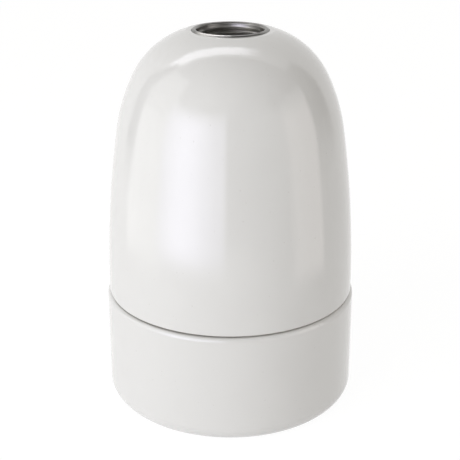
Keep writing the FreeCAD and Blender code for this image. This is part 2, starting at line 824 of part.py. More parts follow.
# Pieces of the insert
def make_terminal_block():
    """The porcelain block: a flange held under the dome, and a cup split by a barrier."""
    outer = s.cavity_radius - s.block_gap
    cup_top = neck_top + s.cup_height
    body = turned(
        "terminal_block",
        (
            (ZERO, neck_top),
            (s.flange_radius, neck_top),
            (s.flange_radius, flange_top),
            (outer, flange_top),
            (outer, cup_top),
            (s.cup_radius, cup_top),
            (s.cup_radius, block_floor),
            (ZERO, block_floor),
        ),
    )
    rim_edges = circle_edges(body, (outer, cup_top), (s.cup_radius, cup_top))
    soften(body, "Fillet", rim_edges, s.cup_round, "rim_rounding")

    barrier = sketch_on(body, "barrier_outline", "XY_Plane", block_floor)
    middle = (s.neutral_offset - s.live_offset) / 2
    half = s.barrier_thickness / 2
    reach = (outer + s.cup_radius) / 2
    draw_outline(
        barrier,
        (
            (middle - half, -reach),
            (middle + half, -reach),
            (middle + half, reach),
            (middle - half, reach),
        ),
    )
    pad(body, barrier, s.barrier_height - s.floor_thickness, "barrier")

    grooves = sketch_on(body, "groove_outlines", "XY_Plane", flange_top)
    half = s.key_width / 2 + s.key_gap
    floor = s.cavity_radius - s.key_depth - s.key_gap
    open_side = outer + OVERRUN
    draw_outline(
        grooves,
        ((-half, floor), (half, floor), (half, open_side), (-half, open_side)),
    )
    draw_outline(
        grooves,
        ((-half, -open_side), (half, -open_side), (half, -floor), (-half, -floor)),
    )
    pocket(body, grooves, s.cup_height - s.flange_thickness + OVERRUN, "grooves")

    holes = sketch_on(body, "hole_outlines", "XY_Plane", neck_top)
    draw_circle(holes, -s.live_offset, ZERO, s.fixing_shank + s.pass_gap)
    draw_circle(holes, s.neutral_offset, ZERO, s.fixing_shank + s.pass_gap)
    for x, y in rivet_places():
        draw_circle(holes, x, y, s.rivet_radius + s.pass_gap)
    pocket(body, holes, s.floor_thickness, "holes")
    return body


def rivet_places():
    """Where the shell's two rivets stand, one each side of the live screw."""
    x = -s.rivet_circle.times_cos(s.rivet_angle)
    y = s.rivet_circle.times_sin(s.rivet_angle)
    return ((x, y), (x, -y))


def make_screw_shell():
    """The rolled brass shell for the lamp's cap, with a flared collar and a pierced base."""
    wall = s.shell_wall
    thread_low = shell_foot + s.shell_collar_height
    thread_high = shell_plate - s.shell_crown_height
    root = s.lamp_thread_mean + s.lamp_thread_swing
    crest = s.lamp_thread_mean - s.lamp_thread_swing
    collar_top = thread_low - s.shell_collar_slope
    collar = turned(
        "shell_collar",
        (
            (s.shell_collar_radius, shell_foot),
            (s.shell_collar_radius + wall, shell_foot),
            (s.shell_collar_radius + wall, collar_top),
            (root + wall, thread_low),
            (root, thread_low),
            (s.shell_collar_radius, collar_top),
        ),
    )
    crown = turned(
        "shell_crown",
        (
            (ZERO, shell_plate),
            (crest, shell_plate),
            (crest, thread_high),
            (crest + wall, thread_high),
            (crest + wall, shell_top),
            (ZERO, shell_top),
        ),
    )
    corner = circle_edges(crown, (crest + wall, shell_top))
    soften(crown, "Fillet", corner, wall * CORNER_SHARE, "corner_rounding")
    openings = sketch_on(crown, "base_openings", "XY_Plane", shell_plate)
    draw_slot(
        openings,
        -s.opening_anchor_reach,
        s.opening_tip_reach,
        s.opening_half_width,
    )
    draw_circle(openings, s.neutral_offset, ZERO, s.fixing_shank + s.pass_gap)
    for x, y in rivet_places():
        draw_circle(openings, x, y, s.rivet_radius + s.pass_gap)
    pocket(crown, openings, wall, "piercing")

    low, high = thread_low.value, thread_high.value
    tubes = []
    for mean in (s.lamp_thread_mean + wall, s.lamp_thread_mean):
        form = thread_form(
            mean.value,
            s.lamp_thread_swing.value,
            s.lamp_thread_runout.value,
            low,
            high,
            TO_LARGE,
            TO_SMALL,
        )
        tubes.append(carried_circles(low, high, s.lamp_thread_pitch.value, form))
    thread = fixed_shape("shell_thread", tubes[0].cut(tubes[1]))
    upper = combined("Fuse", "shell_upper", crown, thread)
    return combined("Fuse", "screw_shell", upper, collar)


def make_shell_rivets():
    """The two rivets that hold the shell to the block, as one group of separate solids."""
    rivets = []
    length = s.floor_thickness + s.shell_wall
    head_rise = s.rivet_head_height
    for side, (x, y) in zip(("left", "right"), rivet_places()):
        body = turned(
            f"rivet_{side}",
            (
                (ZERO, -head_rise),
                (s.rivet_head_radius, -head_rise),
                (s.rivet_head_radius, ZERO),
                (s.rivet_radius, ZERO),
                (s.rivet_radius, length),
                (s.rivet_head_radius, length),
                (s.rivet_head_radius, length + head_rise),
                (ZERO, length + head_rise),
            ),
        )
        domes = circle_edges(
            body,
            (s.rivet_head_radius, -head_rise),
            (s.rivet_head_radius, length + head_rise),
        )
        soften(body, "Fillet", domes, head_rise * DOME_SHARE, "head_rounding")
        place(body, x=x, y=y, z=shell_plate)
        rivets.append(body)
    group = doc.addObject("Part::Compound", "shell_rivets")
    group.Label = "shell_rivets"
    group.Links = rivets
    doc.recompute()
    return group


def make_terminal(name, x):
    """A square brass body, tapped from above for its clamp and from below for its fixing."""
    body = new_body(name)
    outline = sketch_on(body, "outline", "XY_Plane")
    half = s.stud_width / 2
    draw_outline(outline, square(half, half))
    pad(body, outline, s.stud_height, "block")
    upper = straight_edges(
        body, lambda middle, edge: abs(middle.z - s.stud_height.value) < NEAR
    )
    soften(body, "Chamfer", upper, s.stud_chamfer, "upper_chamfer")
    fixing = sketch_on(body, "fixing_hole", "XY_Plane")
    draw_circle(fixing, ZERO, ZERO, s.fixing_shank + s.tap_gap)
    pocket(body, fixing, s.fixing_bite + s.pass_gap, "fixing_tapping")
    clamp = sketch_on(body, "clamp_hole", "XY_Plane", s.stud_height - s.tap_depth)
    draw_circle(clamp, ZERO, ZERO, s.clamp_shank + s.tap_gap)
    pocket(body, clamp, s.tap_depth, "clamp_tapping")
    place(body, x=x, z=block_floor)
    return body


def square(half_x, half_y):
    """The corners of a rectangle centred on the origin."""
    return (
        (-half_x, -half_y),
        (half_x, -half_y),
        (half_x, half_y),
        (-half_x, half_y),
    )


def make_clamp_plate(name, x):
    """A plate that lies on a terminal, with two lips down its sides to keep the wires in."""
    body = new_body(name)
    half_x = s.stud_width / 2
    inner_y = half_x + s.plate_gap
    outer_y = inner_y + s.plate_lip
    outline = sketch_on(body, "outline", "XY_Plane")
    draw_outline(outline, square(half_x, outer_y))
    pad(body, outline, s.plate_thickness, "plate")
    lips = sketch_on(body, "lip_outlines", "XY_Plane", -s.plate_lip_drop)
    draw_outline(
        lips,
        (
            (-half_x, inner_y),
            (half_x, inner_y),
            (half_x, outer_y),
            (-half_x, outer_y),
        ),
    )
    draw_outline(
        lips,
        (
            (-half_x, -outer_y),
            (half_x, -outer_y),
            (half_x, -inner_y),
            (-half_x, -inner_y),
        ),
    )
    pad(body, lips, s.plate_lip_drop, "lips")
    hole = sketch_on(body, "screw_hole", "XY_Plane")
    draw_circle(hole, ZERO, ZERO, s.clamp_shank + s.pass_gap)
    pocket(body, hole, s.plate_thickness, "screw_drilling")
    bends = straight_edges(
        body,
        lambda middle, edge: abs(middle.z - s.plate_thickness.value) < NEAR
        and abs(abs(middle.y) - outer_y.value) < NEAR,
    )
    soften(body, "Fillet", bends, s.plate_lip * CORNER_SHARE, "bend_rounding")
    place(body, x=x, z=stud_top)
    return body


def make_clamp_screw(name, x):
    body = make_screw(
        name,
        s.clamp_shank,
        s.clamp_reach,
        s.clamp_head_radius,
        s.clamp_head_height,
    )
    place(body, x=x, z=stud_top + s.plate_thickness)
    return body


def make_fixing_screw(name, x, seat):
    """A screw from below, through the block's floor into a terminal, its head under the seat."""
    body = make_screw(
        name,
        s.fixing_shank,
        block_floor + s.fixing_bite - seat,
        s.fixing_head_radius,
        s.fixing_head_height,
    )
    place(body, x=x, z=seat, rotation=HEAD_DOWN)
    return body


def make_centre_contact():
    """The sprung strip that steps down from the live screw to the middle of the shell."""
    drop, run, thick = s.strip_drop, s.strip_slope_run, s.strip_thickness
    slope = (drop * drop + run * run).root()
    mitre = thick * (slope - run) / drop
    start = -s.live_offset - s.strip_anchor_reach
    upper_bend = s.strip_bend_start - s.live_offset
    lower_bend = upper_bend + run
    corners = (
        (start, neck_top),
        (start, strip_underside),
        (upper_bend - mitre, strip_underside),
        (lower_bend - mitre, tip_underside),
        (s.strip_tip_reach, tip_underside),
        (s.strip_tip_reach, tip_top),
        (lower_bend, tip_top),
        (upper_bend, neck_top),
    )
    body = new_body("centre_contact")
    side = sketch_on(body, "side_outline", "XZ_Plane")
    draw_outline(side, corners)
    pad(body, side, s.strip_width, "strip", both_ways=True)
    bends = (
        (upper_bend - mitre, strip_underside, s.strip_bend_round),
        (upper_bend, neck_top, s.strip_bend_round + thick),
        (lower_bend - mitre, tip_underside, s.strip_bend_round + thick),
        (lower_bend, tip_top, s.strip_bend_round),
    )
    for number, (x, z, radius) in enumerate(bends, start=1):
        edges = straight_edges(
            body,
            lambda middle, edge, x=x, z=z: abs(middle.x - x.value) < NEAR
            and abs(middle.z - z.value) < NEAR
            and abs(edge.Length - s.strip_width.value) < NEAR,
        )
        soften(body, "Fillet", edges, radius, f"bend_{number}")
    holes = sketch_on(body, "hole_outlines", "XY_Plane", tip_underside)
    draw_circle(holes, -s.live_offset, ZERO, s.fixing_shank + s.pass_gap)
    draw_circle(holes, ZERO, ZERO, s.button_shank + s.button_gap)
    pocket(body, holes, neck_top - tip_underside, "holes")
    return body


def make_contact_button():
    """The button at the strip's end, clenched over above it."""
    clench_foot = s.strip_thickness + s.button_gap
    clench_top = clench_foot + s.button_clench_height
    body = turned(
        "contact_button",
        (
            (ZERO, -s.button_height),
            (s.button_radius, -s.button_height),
            (s.button_radius, -s.button_gap),
            (s.button_shank, -s.button_gap),
            (s.button_shank, clench_foot),
            (s.button_clench_radius, clench_foot),
            (s.button_clench_radius, clench_top),
            (ZERO, clench_top),
        ),
    )
    lower = circle_edges(body, (s.button_radius, -s.button_height))
    dome = (s.button_height - s.button_gap) * DOME_SHARE
    soften(body, "Fillet", lower, dome, "button_rounding")
    place(body, z=tip_underside)
    return body


# Building and writing
def make_all():
    live = -s.live_offset
    neutral = s.neutral_offset
    return [
        make_dome_cover(),
        make_skirt_ring(),
        make_entry_bush(),
        make_bush_washer(),
        make_locking_screw(),
        *make_earth_clamp(),
        make_terminal_block(),
        make_screw_shell(),
        make_shell_rivets(),
        make_fixing_screw("live_fixing_screw", live, strip_underside),
        make_fixing_screw("neutral_fixing_screw", neutral, shell_plate),
        make_terminal("live_terminal", live),
        make_terminal("neutral_terminal", neutral),
        make_clamp_plate("live_clamp_plate", live),
        make_clamp_plate("neutral_clamp_plate", neutral),
        make_clamp_screw("live_clamp_screw", live),
        make_clamp_screw("neutral_clamp_screw", neutral),
        make_centre_contact(),
        make_contact_button(),
    ]


def check(pieces):
    """Stops before anything is written if any object failed or any piece has a bad shape."""
    doc.recompute()
    failed = [o.Label for o in doc.Objects if {"Invalid", "Error"} & set(o.State)]
    if failed:
        raise RuntimeError(f"failed objects: {', '.join(failed)}")
    for piece in pieces:
        shape = piece.Shape
        if shape.isNull() or not shape.isValid() or not shape.Solids:
            raise RuntimeError(f"{piece.Label} has no valid solid")


def write(pieces):
    os.makedirs("parts", exist_ok=True)
    for piece in pieces:
        piece.Shape.exportStep(f"parts/{piece.Label}.step")
        box = piece.Shape.BoundBox
        print(
            f"{piece.Label}: {len(piece.Shape.Solids)} solid,"
            f" {piece.Shape.Volume:.1f} mm3,"
            f" {box.XLength:.2f} x {box.YLength:.2f} x {box.ZLength:.2f} mm"
        )


all_pieces = make_all()
check(all_pieces)
write(all_pieces)
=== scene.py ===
import json
import math

import bmesh
import bpy
from mathutils import Matrix, Vector


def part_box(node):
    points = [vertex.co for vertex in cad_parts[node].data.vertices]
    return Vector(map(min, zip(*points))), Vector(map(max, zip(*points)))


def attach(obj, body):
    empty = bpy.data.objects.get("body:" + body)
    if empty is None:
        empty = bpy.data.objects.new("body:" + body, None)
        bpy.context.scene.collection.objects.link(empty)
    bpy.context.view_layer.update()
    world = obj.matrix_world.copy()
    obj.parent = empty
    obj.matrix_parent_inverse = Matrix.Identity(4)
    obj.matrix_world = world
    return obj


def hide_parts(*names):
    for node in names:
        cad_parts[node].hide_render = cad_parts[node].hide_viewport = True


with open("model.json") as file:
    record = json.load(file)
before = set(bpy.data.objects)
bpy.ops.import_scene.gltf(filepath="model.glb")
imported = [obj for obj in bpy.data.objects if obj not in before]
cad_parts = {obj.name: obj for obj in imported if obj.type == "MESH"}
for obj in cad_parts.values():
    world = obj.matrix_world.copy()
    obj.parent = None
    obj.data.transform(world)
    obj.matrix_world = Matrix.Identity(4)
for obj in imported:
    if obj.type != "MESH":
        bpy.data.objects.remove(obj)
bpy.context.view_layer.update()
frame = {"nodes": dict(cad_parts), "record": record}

# Looks of a glazed porcelain lamp holder: the glaze, the metals, the turned screws and the
# threaded entry bush, and the studio round them. Lengths are metres. Z points up from the
# ring's foot, and the camera stands on the side of -Y.

bl_info = {
    "name": "Porcelain Lamp Holder",
    "version": (1, 0, 0),
    "blender": (4, 5, 0),
    "location": "View3D > Sidebar > Lamp Holder",
    "description": "Dresses a porcelain lamp holder and sets the studio round it",
    "category": "Object",
}

SLOTS = {row["node"]: row["material_slot"] for row in frame["record"]["subparts"]}
FINISHES = {}
MM = 0.001
MICRON = 0.001 * MM
FULL_TURN = 2 * math.pi

# Which way a piece that was made along Z points
UP = Matrix.Identity(4)
DOWN = Matrix.Rotation(math.pi, 4, "X")
TO_LIVE_SIDE = Matrix.Rotation(-math.pi / 2, 4, "Y")

# Where the finishes change: radii from the holder's axis, heights above its foot, and places
# across it and from front to back. A pair is where a change starts and where it ends.
NECK_RADIUS = 20.6 * MM
NECK_FOOT = 8.4 * MM
FOOT_FLAT = 0.12 * MM
# The seam's radii, the ledge's and the rim's heights and the width across place the painted shade
# in the seam
SEAM_RADII = (22.9 * MM, 23.1 * MM)
LEDGE_RADII = (23.55 * MM, 24.05 * MM)
LEDGE_HEIGHTS = (21.3 * MM, 21.5 * MM)
RIM_HEIGHTS = (22.05 * MM, 22.25 * MM)
SEAM_SHADE_WIDTH = (-20 * MM, 20 * MM)
# These places set where light and shade are painted on the bush: in its bore, and on its lip with a
# painted highlight at the left front
BORE_RADIUS = 6.3 * MM
BORE_HEIGHTS = (70.4 * MM, 71.7 * MM)
BORE_WIDTH = (-2.5 * MM, 2.5 * MM)
LIP_FOOT = 71.9 * MM
GLINT_WIDTH = (-2.0 * MM, 1.0 * MM)
GLINT_DEPTH = (-5.0 * MM, -2.5 * MM)

# How the finishes differ there, as shares or as multiples of a colour
# The first and the third are for painted shade: how strongly it lies on the dome's lowest edge, and
# the specular level where it lies in the seam
RIM_SHADE = 0.5
GLAZE_SHINE = 0.5
SEAM_SHADE_SHINE = 0.1
BARE_ROUGHNESS = 0.75
SPECK_SHARE = 0.25
SPECK_COLOUR = (0.45, 0.42, 0.38)
PALE_SHARE = 0.3
PALE_PORCELAIN = (0.82, 0.80, 0.76)
TARNISH = 0.78
# Painted light and shade in the bush: the bore's tones by height and from left to right, the darker
# tone painted on the lip, and the gain of the painted highlight at its left front
BORE_TONES = (2.4, 1.0)
BORE_SIDE_TONES = (0.75, 1.35)
LIP_SHADE = 0.6
GLINT_GAIN = 1.3

# Relief of the grit, the turned rings, the pressed fibres and the scratches
GRIT = 15 * MICRON
SAND = 12 * MICRON
RINGS = 12 * MICRON
FIBRES = 10 * MICRON
SCRATCHES = 3 * MICRON

# A wall whose normal leans in by more than this is an inner one, and a face that looks down by
# more than this is an underside
INWARD = -1e-6
DOWNWARD = -0.5

# Rows of faces to a thread's turn, the spare turns that its cut ends take up, and how steeply
# its flanks rise between crest and root
ROWS_PER_TURN = 8
SPARE_TURNS = 1.25
RIDGE_SLOPE = 0.75
# A thread runs out over this share of its pitch, and a shank's tip is chamfered by this share
# of its radius
RUN_OUT = 0.6
TIP_SHARE = 0.25
SCREW_SIDES = 32
BUSH_SIDES = 96
BEAD_STEPS = 16
# Rows of faces up a screw's head, the share of its height that is rounded, and how far across
# it the slot is cut, in radii
HEAD_ROWS = 12
HEAD_ROUND = 0.3
SLOT_REACH = 3.0
# Points this close are one, in a thread and where the bush's walls meet
MERGE = 1e-7
WELD = 2 * MICRON
# An edge at which a surface turns by less than this is shaded smooth
SMOOTH_ANGLE = math.radians(35)
SCREWS_IN_BUSH = ("locking_screw", "earth_clamp_screw")
HEAD_HEIGHTS = {
    "live_clamp_screw": 2.2 * MM,
    "neutral_clamp_screw": 2.2 * MM,
    "live_fixing_screw": 1.9 * MM,
    "neutral_fixing_screw": 1.9 * MM,
    "earth_clamp_screw": 2.0 * MM,
}

# The studio
KEY_PLACE = Vector((-0.35, -0.33, 0.16))
KEY_AIM = Vector((0, 0, 35 * MM))
KEY_SIZE = (0.35, 0.5)
KEY_COLOUR = (0.95, 0.97, 1.0)
FLOOR_REACH = 1.5
# The floor looks this much like plain white of this strength, and the rest keeps a shadow
FLOOR_LIFT = 0.85
FLOOR_WHITE = 1.09
# Steps round a bent card, how far from the holder's axis the cards stand, and the height of
# those that lie overhead
CARD_STEPS = 32
CARD_REACH = 85 * MM
LEFT_REACH = 88 * MM
CARD_HEIGHT = 370 * MM
WINDOW_EDGES = (10 * MM, 102 * MM)
WINDOW_TINT = (0.82, 0.81, 1)


class GlazeSettings(bpy.types.PropertyGroup):
    """The porcelain, glazed and bare, and the painted shade in its seam."""

    white: bpy.props.FloatVectorProperty(
        name="Glaze", description="Colour of the glazed porcelain",
        subtype="COLOR", size=3, min=0, max=1, default=(0.83, 0.825, 0.82),
    )
    bisque: bpy.props.FloatVectorProperty(
        name="Bare porcelain", description="Colour of the porcelain where it has no glaze",
        subtype="COLOR", size=3, min=0, max=1, default=(0.76, 0.735, 0.69),
    )
    gloss: bpy.props.FloatProperty(
        name="Roughness", description="Roughness of the glaze",
        min=0, max=1, default=0.1, subtype="FACTOR",
    )
    ripple: bpy.props.FloatProperty(
        name="Ripple", description="Height of the glaze's faint waves",
        min=0, default=4e-6, unit="LENGTH",
    )
    # Painted shade: a dark colour laid in the seam between dome and ring, in place of the shadow in
    # that gap
    dirt: bpy.props.FloatVectorProperty(
        name="Dirt", description="Colour of the dirt that has settled in the seam",
        subtype="COLOR", size=3, min=0, max=1, default=(0.11, 0.095, 0.075),
    )
    # How much painted shade lies in the seam at the left and at the right; more at the left, where
    # the key light falls
    seam_shade_shares: bpy.props.FloatVectorProperty(
        name="Dirt, left and right", description="Share of the seam that the dirt covers there",
        size=2, min=0, max=1, default=(0.5, 0.08),
    )


class MetalSettings(bpy.types.PropertyGroup):
    """The metals and the fibre washer."""

    nickel: bpy.props.FloatVectorProperty(
        name="Bush", description="Colour of the bush's dull nickel plating",
        subtype="COLOR", size=3, min=0, max=1, default=(0.36, 0.35, 0.33),
    )
    zinc: bpy.props.FloatVectorProperty(
        name="Screws", description="Colour of the zinc-plated screws and plates",
        subtype="COLOR", size=3, min=0, max=1, default=(0.62, 0.63, 0.64),
    )
    brass: bpy.props.FloatVectorProperty(
        name="Brass", description="Colour of the shell and the terminals",
        subtype="COLOR", size=3, min=0, max=1, default=(0.76, 0.59, 0.30),
    )
    bronze: bpy.props.FloatVectorProperty(
        name="Bronze", description="Colour of the centre contact",
        subtype="COLOR", size=3, min=0, max=1, default=(0.70, 0.46, 0.27),
    )
    fibre: bpy.props.FloatVectorProperty(
        name="Fibre", description="Colour of the washer under the dome's crown",
        subtype="COLOR", size=3, min=0, max=1, default=(0.36, 0.11, 0.08),
    )


class BushSettings(bpy.types.PropertyGroup):
    """The entry bush."""

    crest_radius: bpy.props.FloatProperty(
        name="Thread crest radius", description="Inner radius of the entry thread",
        min=1e-5, default=5.96 * MM, unit="LENGTH",
    )
    thread_depth: bpy.props.FloatProperty(
        name="Thread depth", description="Depth of the entry thread",
        min=1e-5, default=0.5 * MM, unit="LENGTH",
    )
    pitch: bpy.props.FloatProperty(
        name="Thread pitch", description="Pitch of the entry thread",
        min=1e-5, default=1.0 * MM, unit="LENGTH",
    )
    mouth_radius: bpy.props.FloatProperty(
        name="Mouth radius", description="Radius of the opening above the thread",
        min=1e-5, default=6.25 * MM, unit="LENGTH",
    )
    mouth_depth: bpy.props.FloatProperty(
        name="Mouth depth", description="Depth of that opening",
        min=1e-5, default=0.9 * MM, unit="LENGTH",
    )
    neck_radius: bpy.props.FloatProperty(
        name="Neck radius", description="Outer radius of the neck",
        min=1e-5, default=6.85 * MM, unit="LENGTH",
    )
    lip_bead: bpy.props.FloatProperty(
        name="Lip bead", description="Radius of the rolled lip's half-round bead",
        min=1e-5, default=0.45 * MM, unit="LENGTH",
    )
    lip_height: bpy.props.FloatProperty(
        name="Lip height", description="Height of the rolled lip",
        min=1e-5, default=0.6 * MM, unit="LENGTH",
    )
    head_height: bpy.props.FloatProperty(
        name="Head height", description="Height of the head inside the dome",
        min=1e-5, default=6.0 * MM, unit="LENGTH",
    )
    chamfer: bpy.props.FloatProperty(
        name="Chamfer", description="Chamfer of the head's lower edge",
        min=1e-5, default=0.6 * MM, unit="LENGTH",
    )
    hole_radius: bpy.props.FloatProperty(
        name="Screw hole radius", description="Radius of the two tapped screw holes",
        min=1e-5, default=1.56 * MM, unit="LENGTH",
    )
    earth_depth: bpy.props.FloatProperty(
        name="Earth hole depth", description="Depth of the earth screw's hole",
        min=1e-5, default=4.6 * MM, unit="LENGTH",
    )


class ThreadSettings(bpy.types.PropertyGroup):
    """The screws' fine threads, their slots and the locking screw's point."""

    clamp_radius: bpy.props.FloatProperty(
        name="Clamp screw radius", description="Outer radius of the clamp screws' thread",
        min=0, default=1.75 * MM, unit="LENGTH",
    )
    small_radius: bpy.props.FloatProperty(
        name="Small screw radius", description="Outer radius of the other screws' thread",
        min=0, default=1.5 * MM, unit="LENGTH",
    )
    screw_pitch: bpy.props.FloatProperty(
        name="Screw pitch", description="Pitch of the clamp screws' thread",
        min=1e-4, default=0.6 * MM, unit="LENGTH",
    )
    small_pitch: bpy.props.FloatProperty(
        name="Small screw pitch", description="Pitch of the other screws' thread",
        min=1e-4, default=0.5 * MM, unit="LENGTH",
    )
    screw_depth: bpy.props.FloatProperty(
        name="Screw thread depth", description="Depth of the screws' thread, as share of its pitch",
        min=0, max=1, default=0.6, subtype="FACTOR",
    )
    lock_cone: bpy.props.FloatProperty(
        name="Locking screw's point", description="Height of the locking screw's pointed end",
        min=1e-5, default=0.6 * MM, unit="LENGTH",
    )
    slot_width: bpy.props.FloatProperty(
        name="Slot width", description="Width of the driver's slots",
        min=1e-5, default=0.8 * MM, unit="LENGTH",
    )
    slot_depth: bpy.props.FloatProperty(
        name="Slot depth", description="Depth of the driver's slots",
        min=1e-5, default=1.0 * MM, unit="LENGTH",
    )


class StudioSettings(bpy.types.PropertyGroup):
    """The camera, the lights and the floor."""

    distance: bpy.props.FloatProperty(
        name="Distance", description="Distance of the camera from the holder's axis",
        min=0.01, default=188.2 * MM, unit="LENGTH",
    )
    height: bpy.props.FloatProperty(
        name="Height", description="Height of the camera above the floor",
        min=0, default=109.1 * MM, unit="LENGTH",
    )
    tilt: bpy.props.FloatProperty(
        name="Tilt", description="Angle by which the camera looks down",
        default=0.3836, unit="ROTATION",
    )
    lens: bpy.props.FloatProperty(
        name="Lens", description="Focal length in millimetres on a 36 mm sensor",
        min=1, default=80.59,
    )
    shift: bpy.props.FloatProperty(
        name="Shift", description="Sideways shift of the picture, as a share of its width",
        default=-0.0007,
    )
    daylight: bpy.props.FloatProperty(
        name="Daylight", description="Strength of the light from all round",
        min=0, default=0.725,
    )
    daylight_tint: bpy.props.FloatVectorProperty(
        name="Daylight tint", description="Colour of the light from all round",
        subtype="COLOR", size=3, min=0, max=1, default=(1.0, 0.975, 0.93),
    )
    overhead: bpy.props.FloatProperty(
        name="Overhead share", description="Daylight from overhead, as share of that from the side",
        min=0, max=1, default=0.57, subtype="FACTOR",
    )
    key: bpy.props.FloatProperty(
        name="Key light", description="Power of the soft light at the left, in watts",
        min=0, default=1.36,
    )
    floor: bpy.props.FloatVectorProperty(
        name="Floor", description="Colour of the floor",
        subtype="COLOR", size=3, min=0, max=1, default=(0.9, 0.9, 0.9),
    )


class Nodes:
    """A node tree under construction: a call adds a node and wires its inputs."""

    def __init__(self, tree):
        self.tree = tree

    def add(self, kind, inputs=None, **settings):
        node = self.tree.nodes.new(kind)
        for name, value in settings.items():
            setattr(node, name, value)
        for name, value in (inputs or {}).items():
            self.feed(node.inputs[name], value)
        return node

    def feed(self, socket, value):
        if isinstance(value, bpy.types.NodeSocket):
            self.tree.links.new(value, socket)
        else:
            socket.default_value = value

    def calc(self, operation, *values, clamp=False):
        node = self.add("ShaderNodeMath", operation=operation, use_clamp=clamp)
        for socket, value in zip(node.inputs, values):
            self.feed(socket, value)
        return node.outputs[0]

    def split(self, vector):
        parts = self.add("ShaderNodeSeparateXYZ", {0: vector}).outputs
        return parts[0], parts[1], parts[2]

    def join(self, x, y, z):
        return self.add("ShaderNodeCombineXYZ", {0: x, 1: y, 2: z}).outputs[0]

    def between(self, value, low, high, to_low=0.0, to_high=1.0):
        """Carries value smoothly from one range to another."""
        ranges = {"From Min": low, "From Max": high, "To Min": to_low, "To Max": to_high}
        spread = self.add(
            "ShaderNodeMapRange", {"Value": value, **ranges}, interpolation_type="SMOOTHSTEP"
        )
        return spread.outputs[0]


class Finish(Nodes):
    """A material on one Principled surface, patterned in the holder's own coordinates."""

    def __init__(self, name, **surface):
        self.material = bpy.data.materials.new(name)
        self.material.use_nodes = True
        super().__init__(self.material.node_tree)
        self.surface = self.tree.nodes["Principled BSDF"]
        self.place = self.add("ShaderNodeTexCoord").outputs["Object"]
        self.set(**surface)

    def set(self, **values):
        for name, value in values.items():
            self.feed(self.surface.inputs[name.replace("_", " ")], value)

    def noise(self, size, detail=2.0, place=None):
        """Noise whose features are about this size."""
        node = self.add(
            "ShaderNodeTexNoise",
            {"Vector": place or self.place, "Scale": 1 / size, "Detail": detail},
        )
        return node.outputs[0]

    def blend(self, share, first, second):
        """A colour between two, each a colour or another node's output."""
        node = self.add("ShaderNodeMix", data_type="RGBA")
        self.feed(node.inputs["Factor"], share)
        self.feed(node.inputs[6], colour(first))
        self.feed(node.inputs[7], colour(second))
        return node.outputs[2]

    def bump(self, height, depth, under=None):
        """Raises the surface by height times depth, in metres."""
        node = self.add("ShaderNodeBump", {"Height": height, "Distance": depth})
        if under is not None:
            self.feed(node.inputs["Normal"], under)
        return node.outputs[0]

    def radius(self):
        """The distance from the holder's axis."""
        x, y, _ = self.split(self.place)
        squares = (self.calc("MULTIPLY", side, side) for side in (x, y))
        return self.calc("SQRT", self.calc("ADD", *squares))

    def height(self):
        """The height above the holder's foot."""
        return self.split(self.place)[2]

    def rings(self, line):
        """Fine rings round the axis, from turning or rolling."""
        return self.noise(line, place=self.join(self.radius(), 0.0, self.height()))

    def tarnish(self):
        """Patches of the film that nickel and brass grow."""
        return self.between(self.noise(3 * MM, detail=5.0), low=0.35, high=0.75)


def colour(value):
    """A colour as a mix takes it: another node's output, or four channels."""
    if isinstance(value, bpy.types.NodeSocket) or len(value) == 4:
        return value
    return (*value, 1)


def shade(base, factor):
    """A darker or paler colour."""
    return tuple(min(1.0, channel * factor) for channel in base)


def glazed_finish(settings, name, bare, dirt):
    """Glossy white glaze, with bare porcelain where the mask `bare` is 1, and painted shade at the
    seam.
    """
    finish = Finish(name, IOR=1.5)
    mask = bare(finish)
    cloud = finish.between(finish.noise(11 * MM), low=0.3, high=0.7)
    white = finish.blend(cloud, shade(settings.white, 0.985), settings.white)
    speck = finish.between(finish.noise(0.5 * MM, detail=1.0), low=0.76, high=0.8)
    white = finish.blend(finish.calc("MULTIPLY", speck, SPECK_SHARE), white, SPECK_COLOUR)
    grit = finish.noise(0.25 * MM, detail=4.0)
    bisque = finish.blend(grit, shade(settings.bisque, 0.9), shade(settings.bisque, 1.08))
    # Painted shade in the seam, laid on more heavily at the left than at the right
    across = finish.split(finish.place)[0]
    side = finish.between(across, *SEAM_SHADE_WIDTH, *settings.seam_shade_shares)
    painted_shade = finish.calc("MULTIPLY", dirt(finish), side)
    dull = finish.calc("MULTIPLY", mask, BARE_ROUGHNESS)
    finish.set(
        Base_Color=finish.blend(painted_shade, finish.blend(mask, white, bisque), settings.dirt),
        Roughness=finish.calc("MAXIMUM", dull, settings.gloss),
        Specular_IOR_Level=finish.between(painted_shade, 0, 1, GLAZE_SHINE, SEAM_SHADE_SHINE),
    )
    wave = finish.bump(finish.noise(5 * MM, detail=1.0), settings.ripple)
    rough = finish.calc("MULTIPLY", grit, mask)
    finish.set(Normal=finish.bump(rough, GRIT, wave))
    return finish.material


def dome_bare(finish):
    """The dome is bare on its inner walls and on its rim's seat."""
    x, y, _ = finish.split(finish.place)
    normal = finish.add("ShaderNodeNewGeometry").outputs["True Normal"]
    nx, ny, nz = finish.split(normal)
    outward = finish.calc("ADD", finish.calc("MULTIPLY", x, nx), finish.calc("MULTIPLY", y, ny))
    inner = finish.calc("LESS_THAN", outward, INWARD)
    under = finish.calc("LESS_THAN", nz, DOWNWARD)
    return finish.calc("MAXIMUM", inner, under)


def dome_seam_shade(finish):
    """Painted shade on the lowest edge of the dome, at the seam."""
    edge = finish.between(finish.height(), *RIM_HEIGHTS, 1.0, 0.0)
    rim = finish.between(finish.radius(), *SEAM_RADII, 0.0, RIM_SHADE)
    return finish.calc("MULTIPLY", edge, rim)


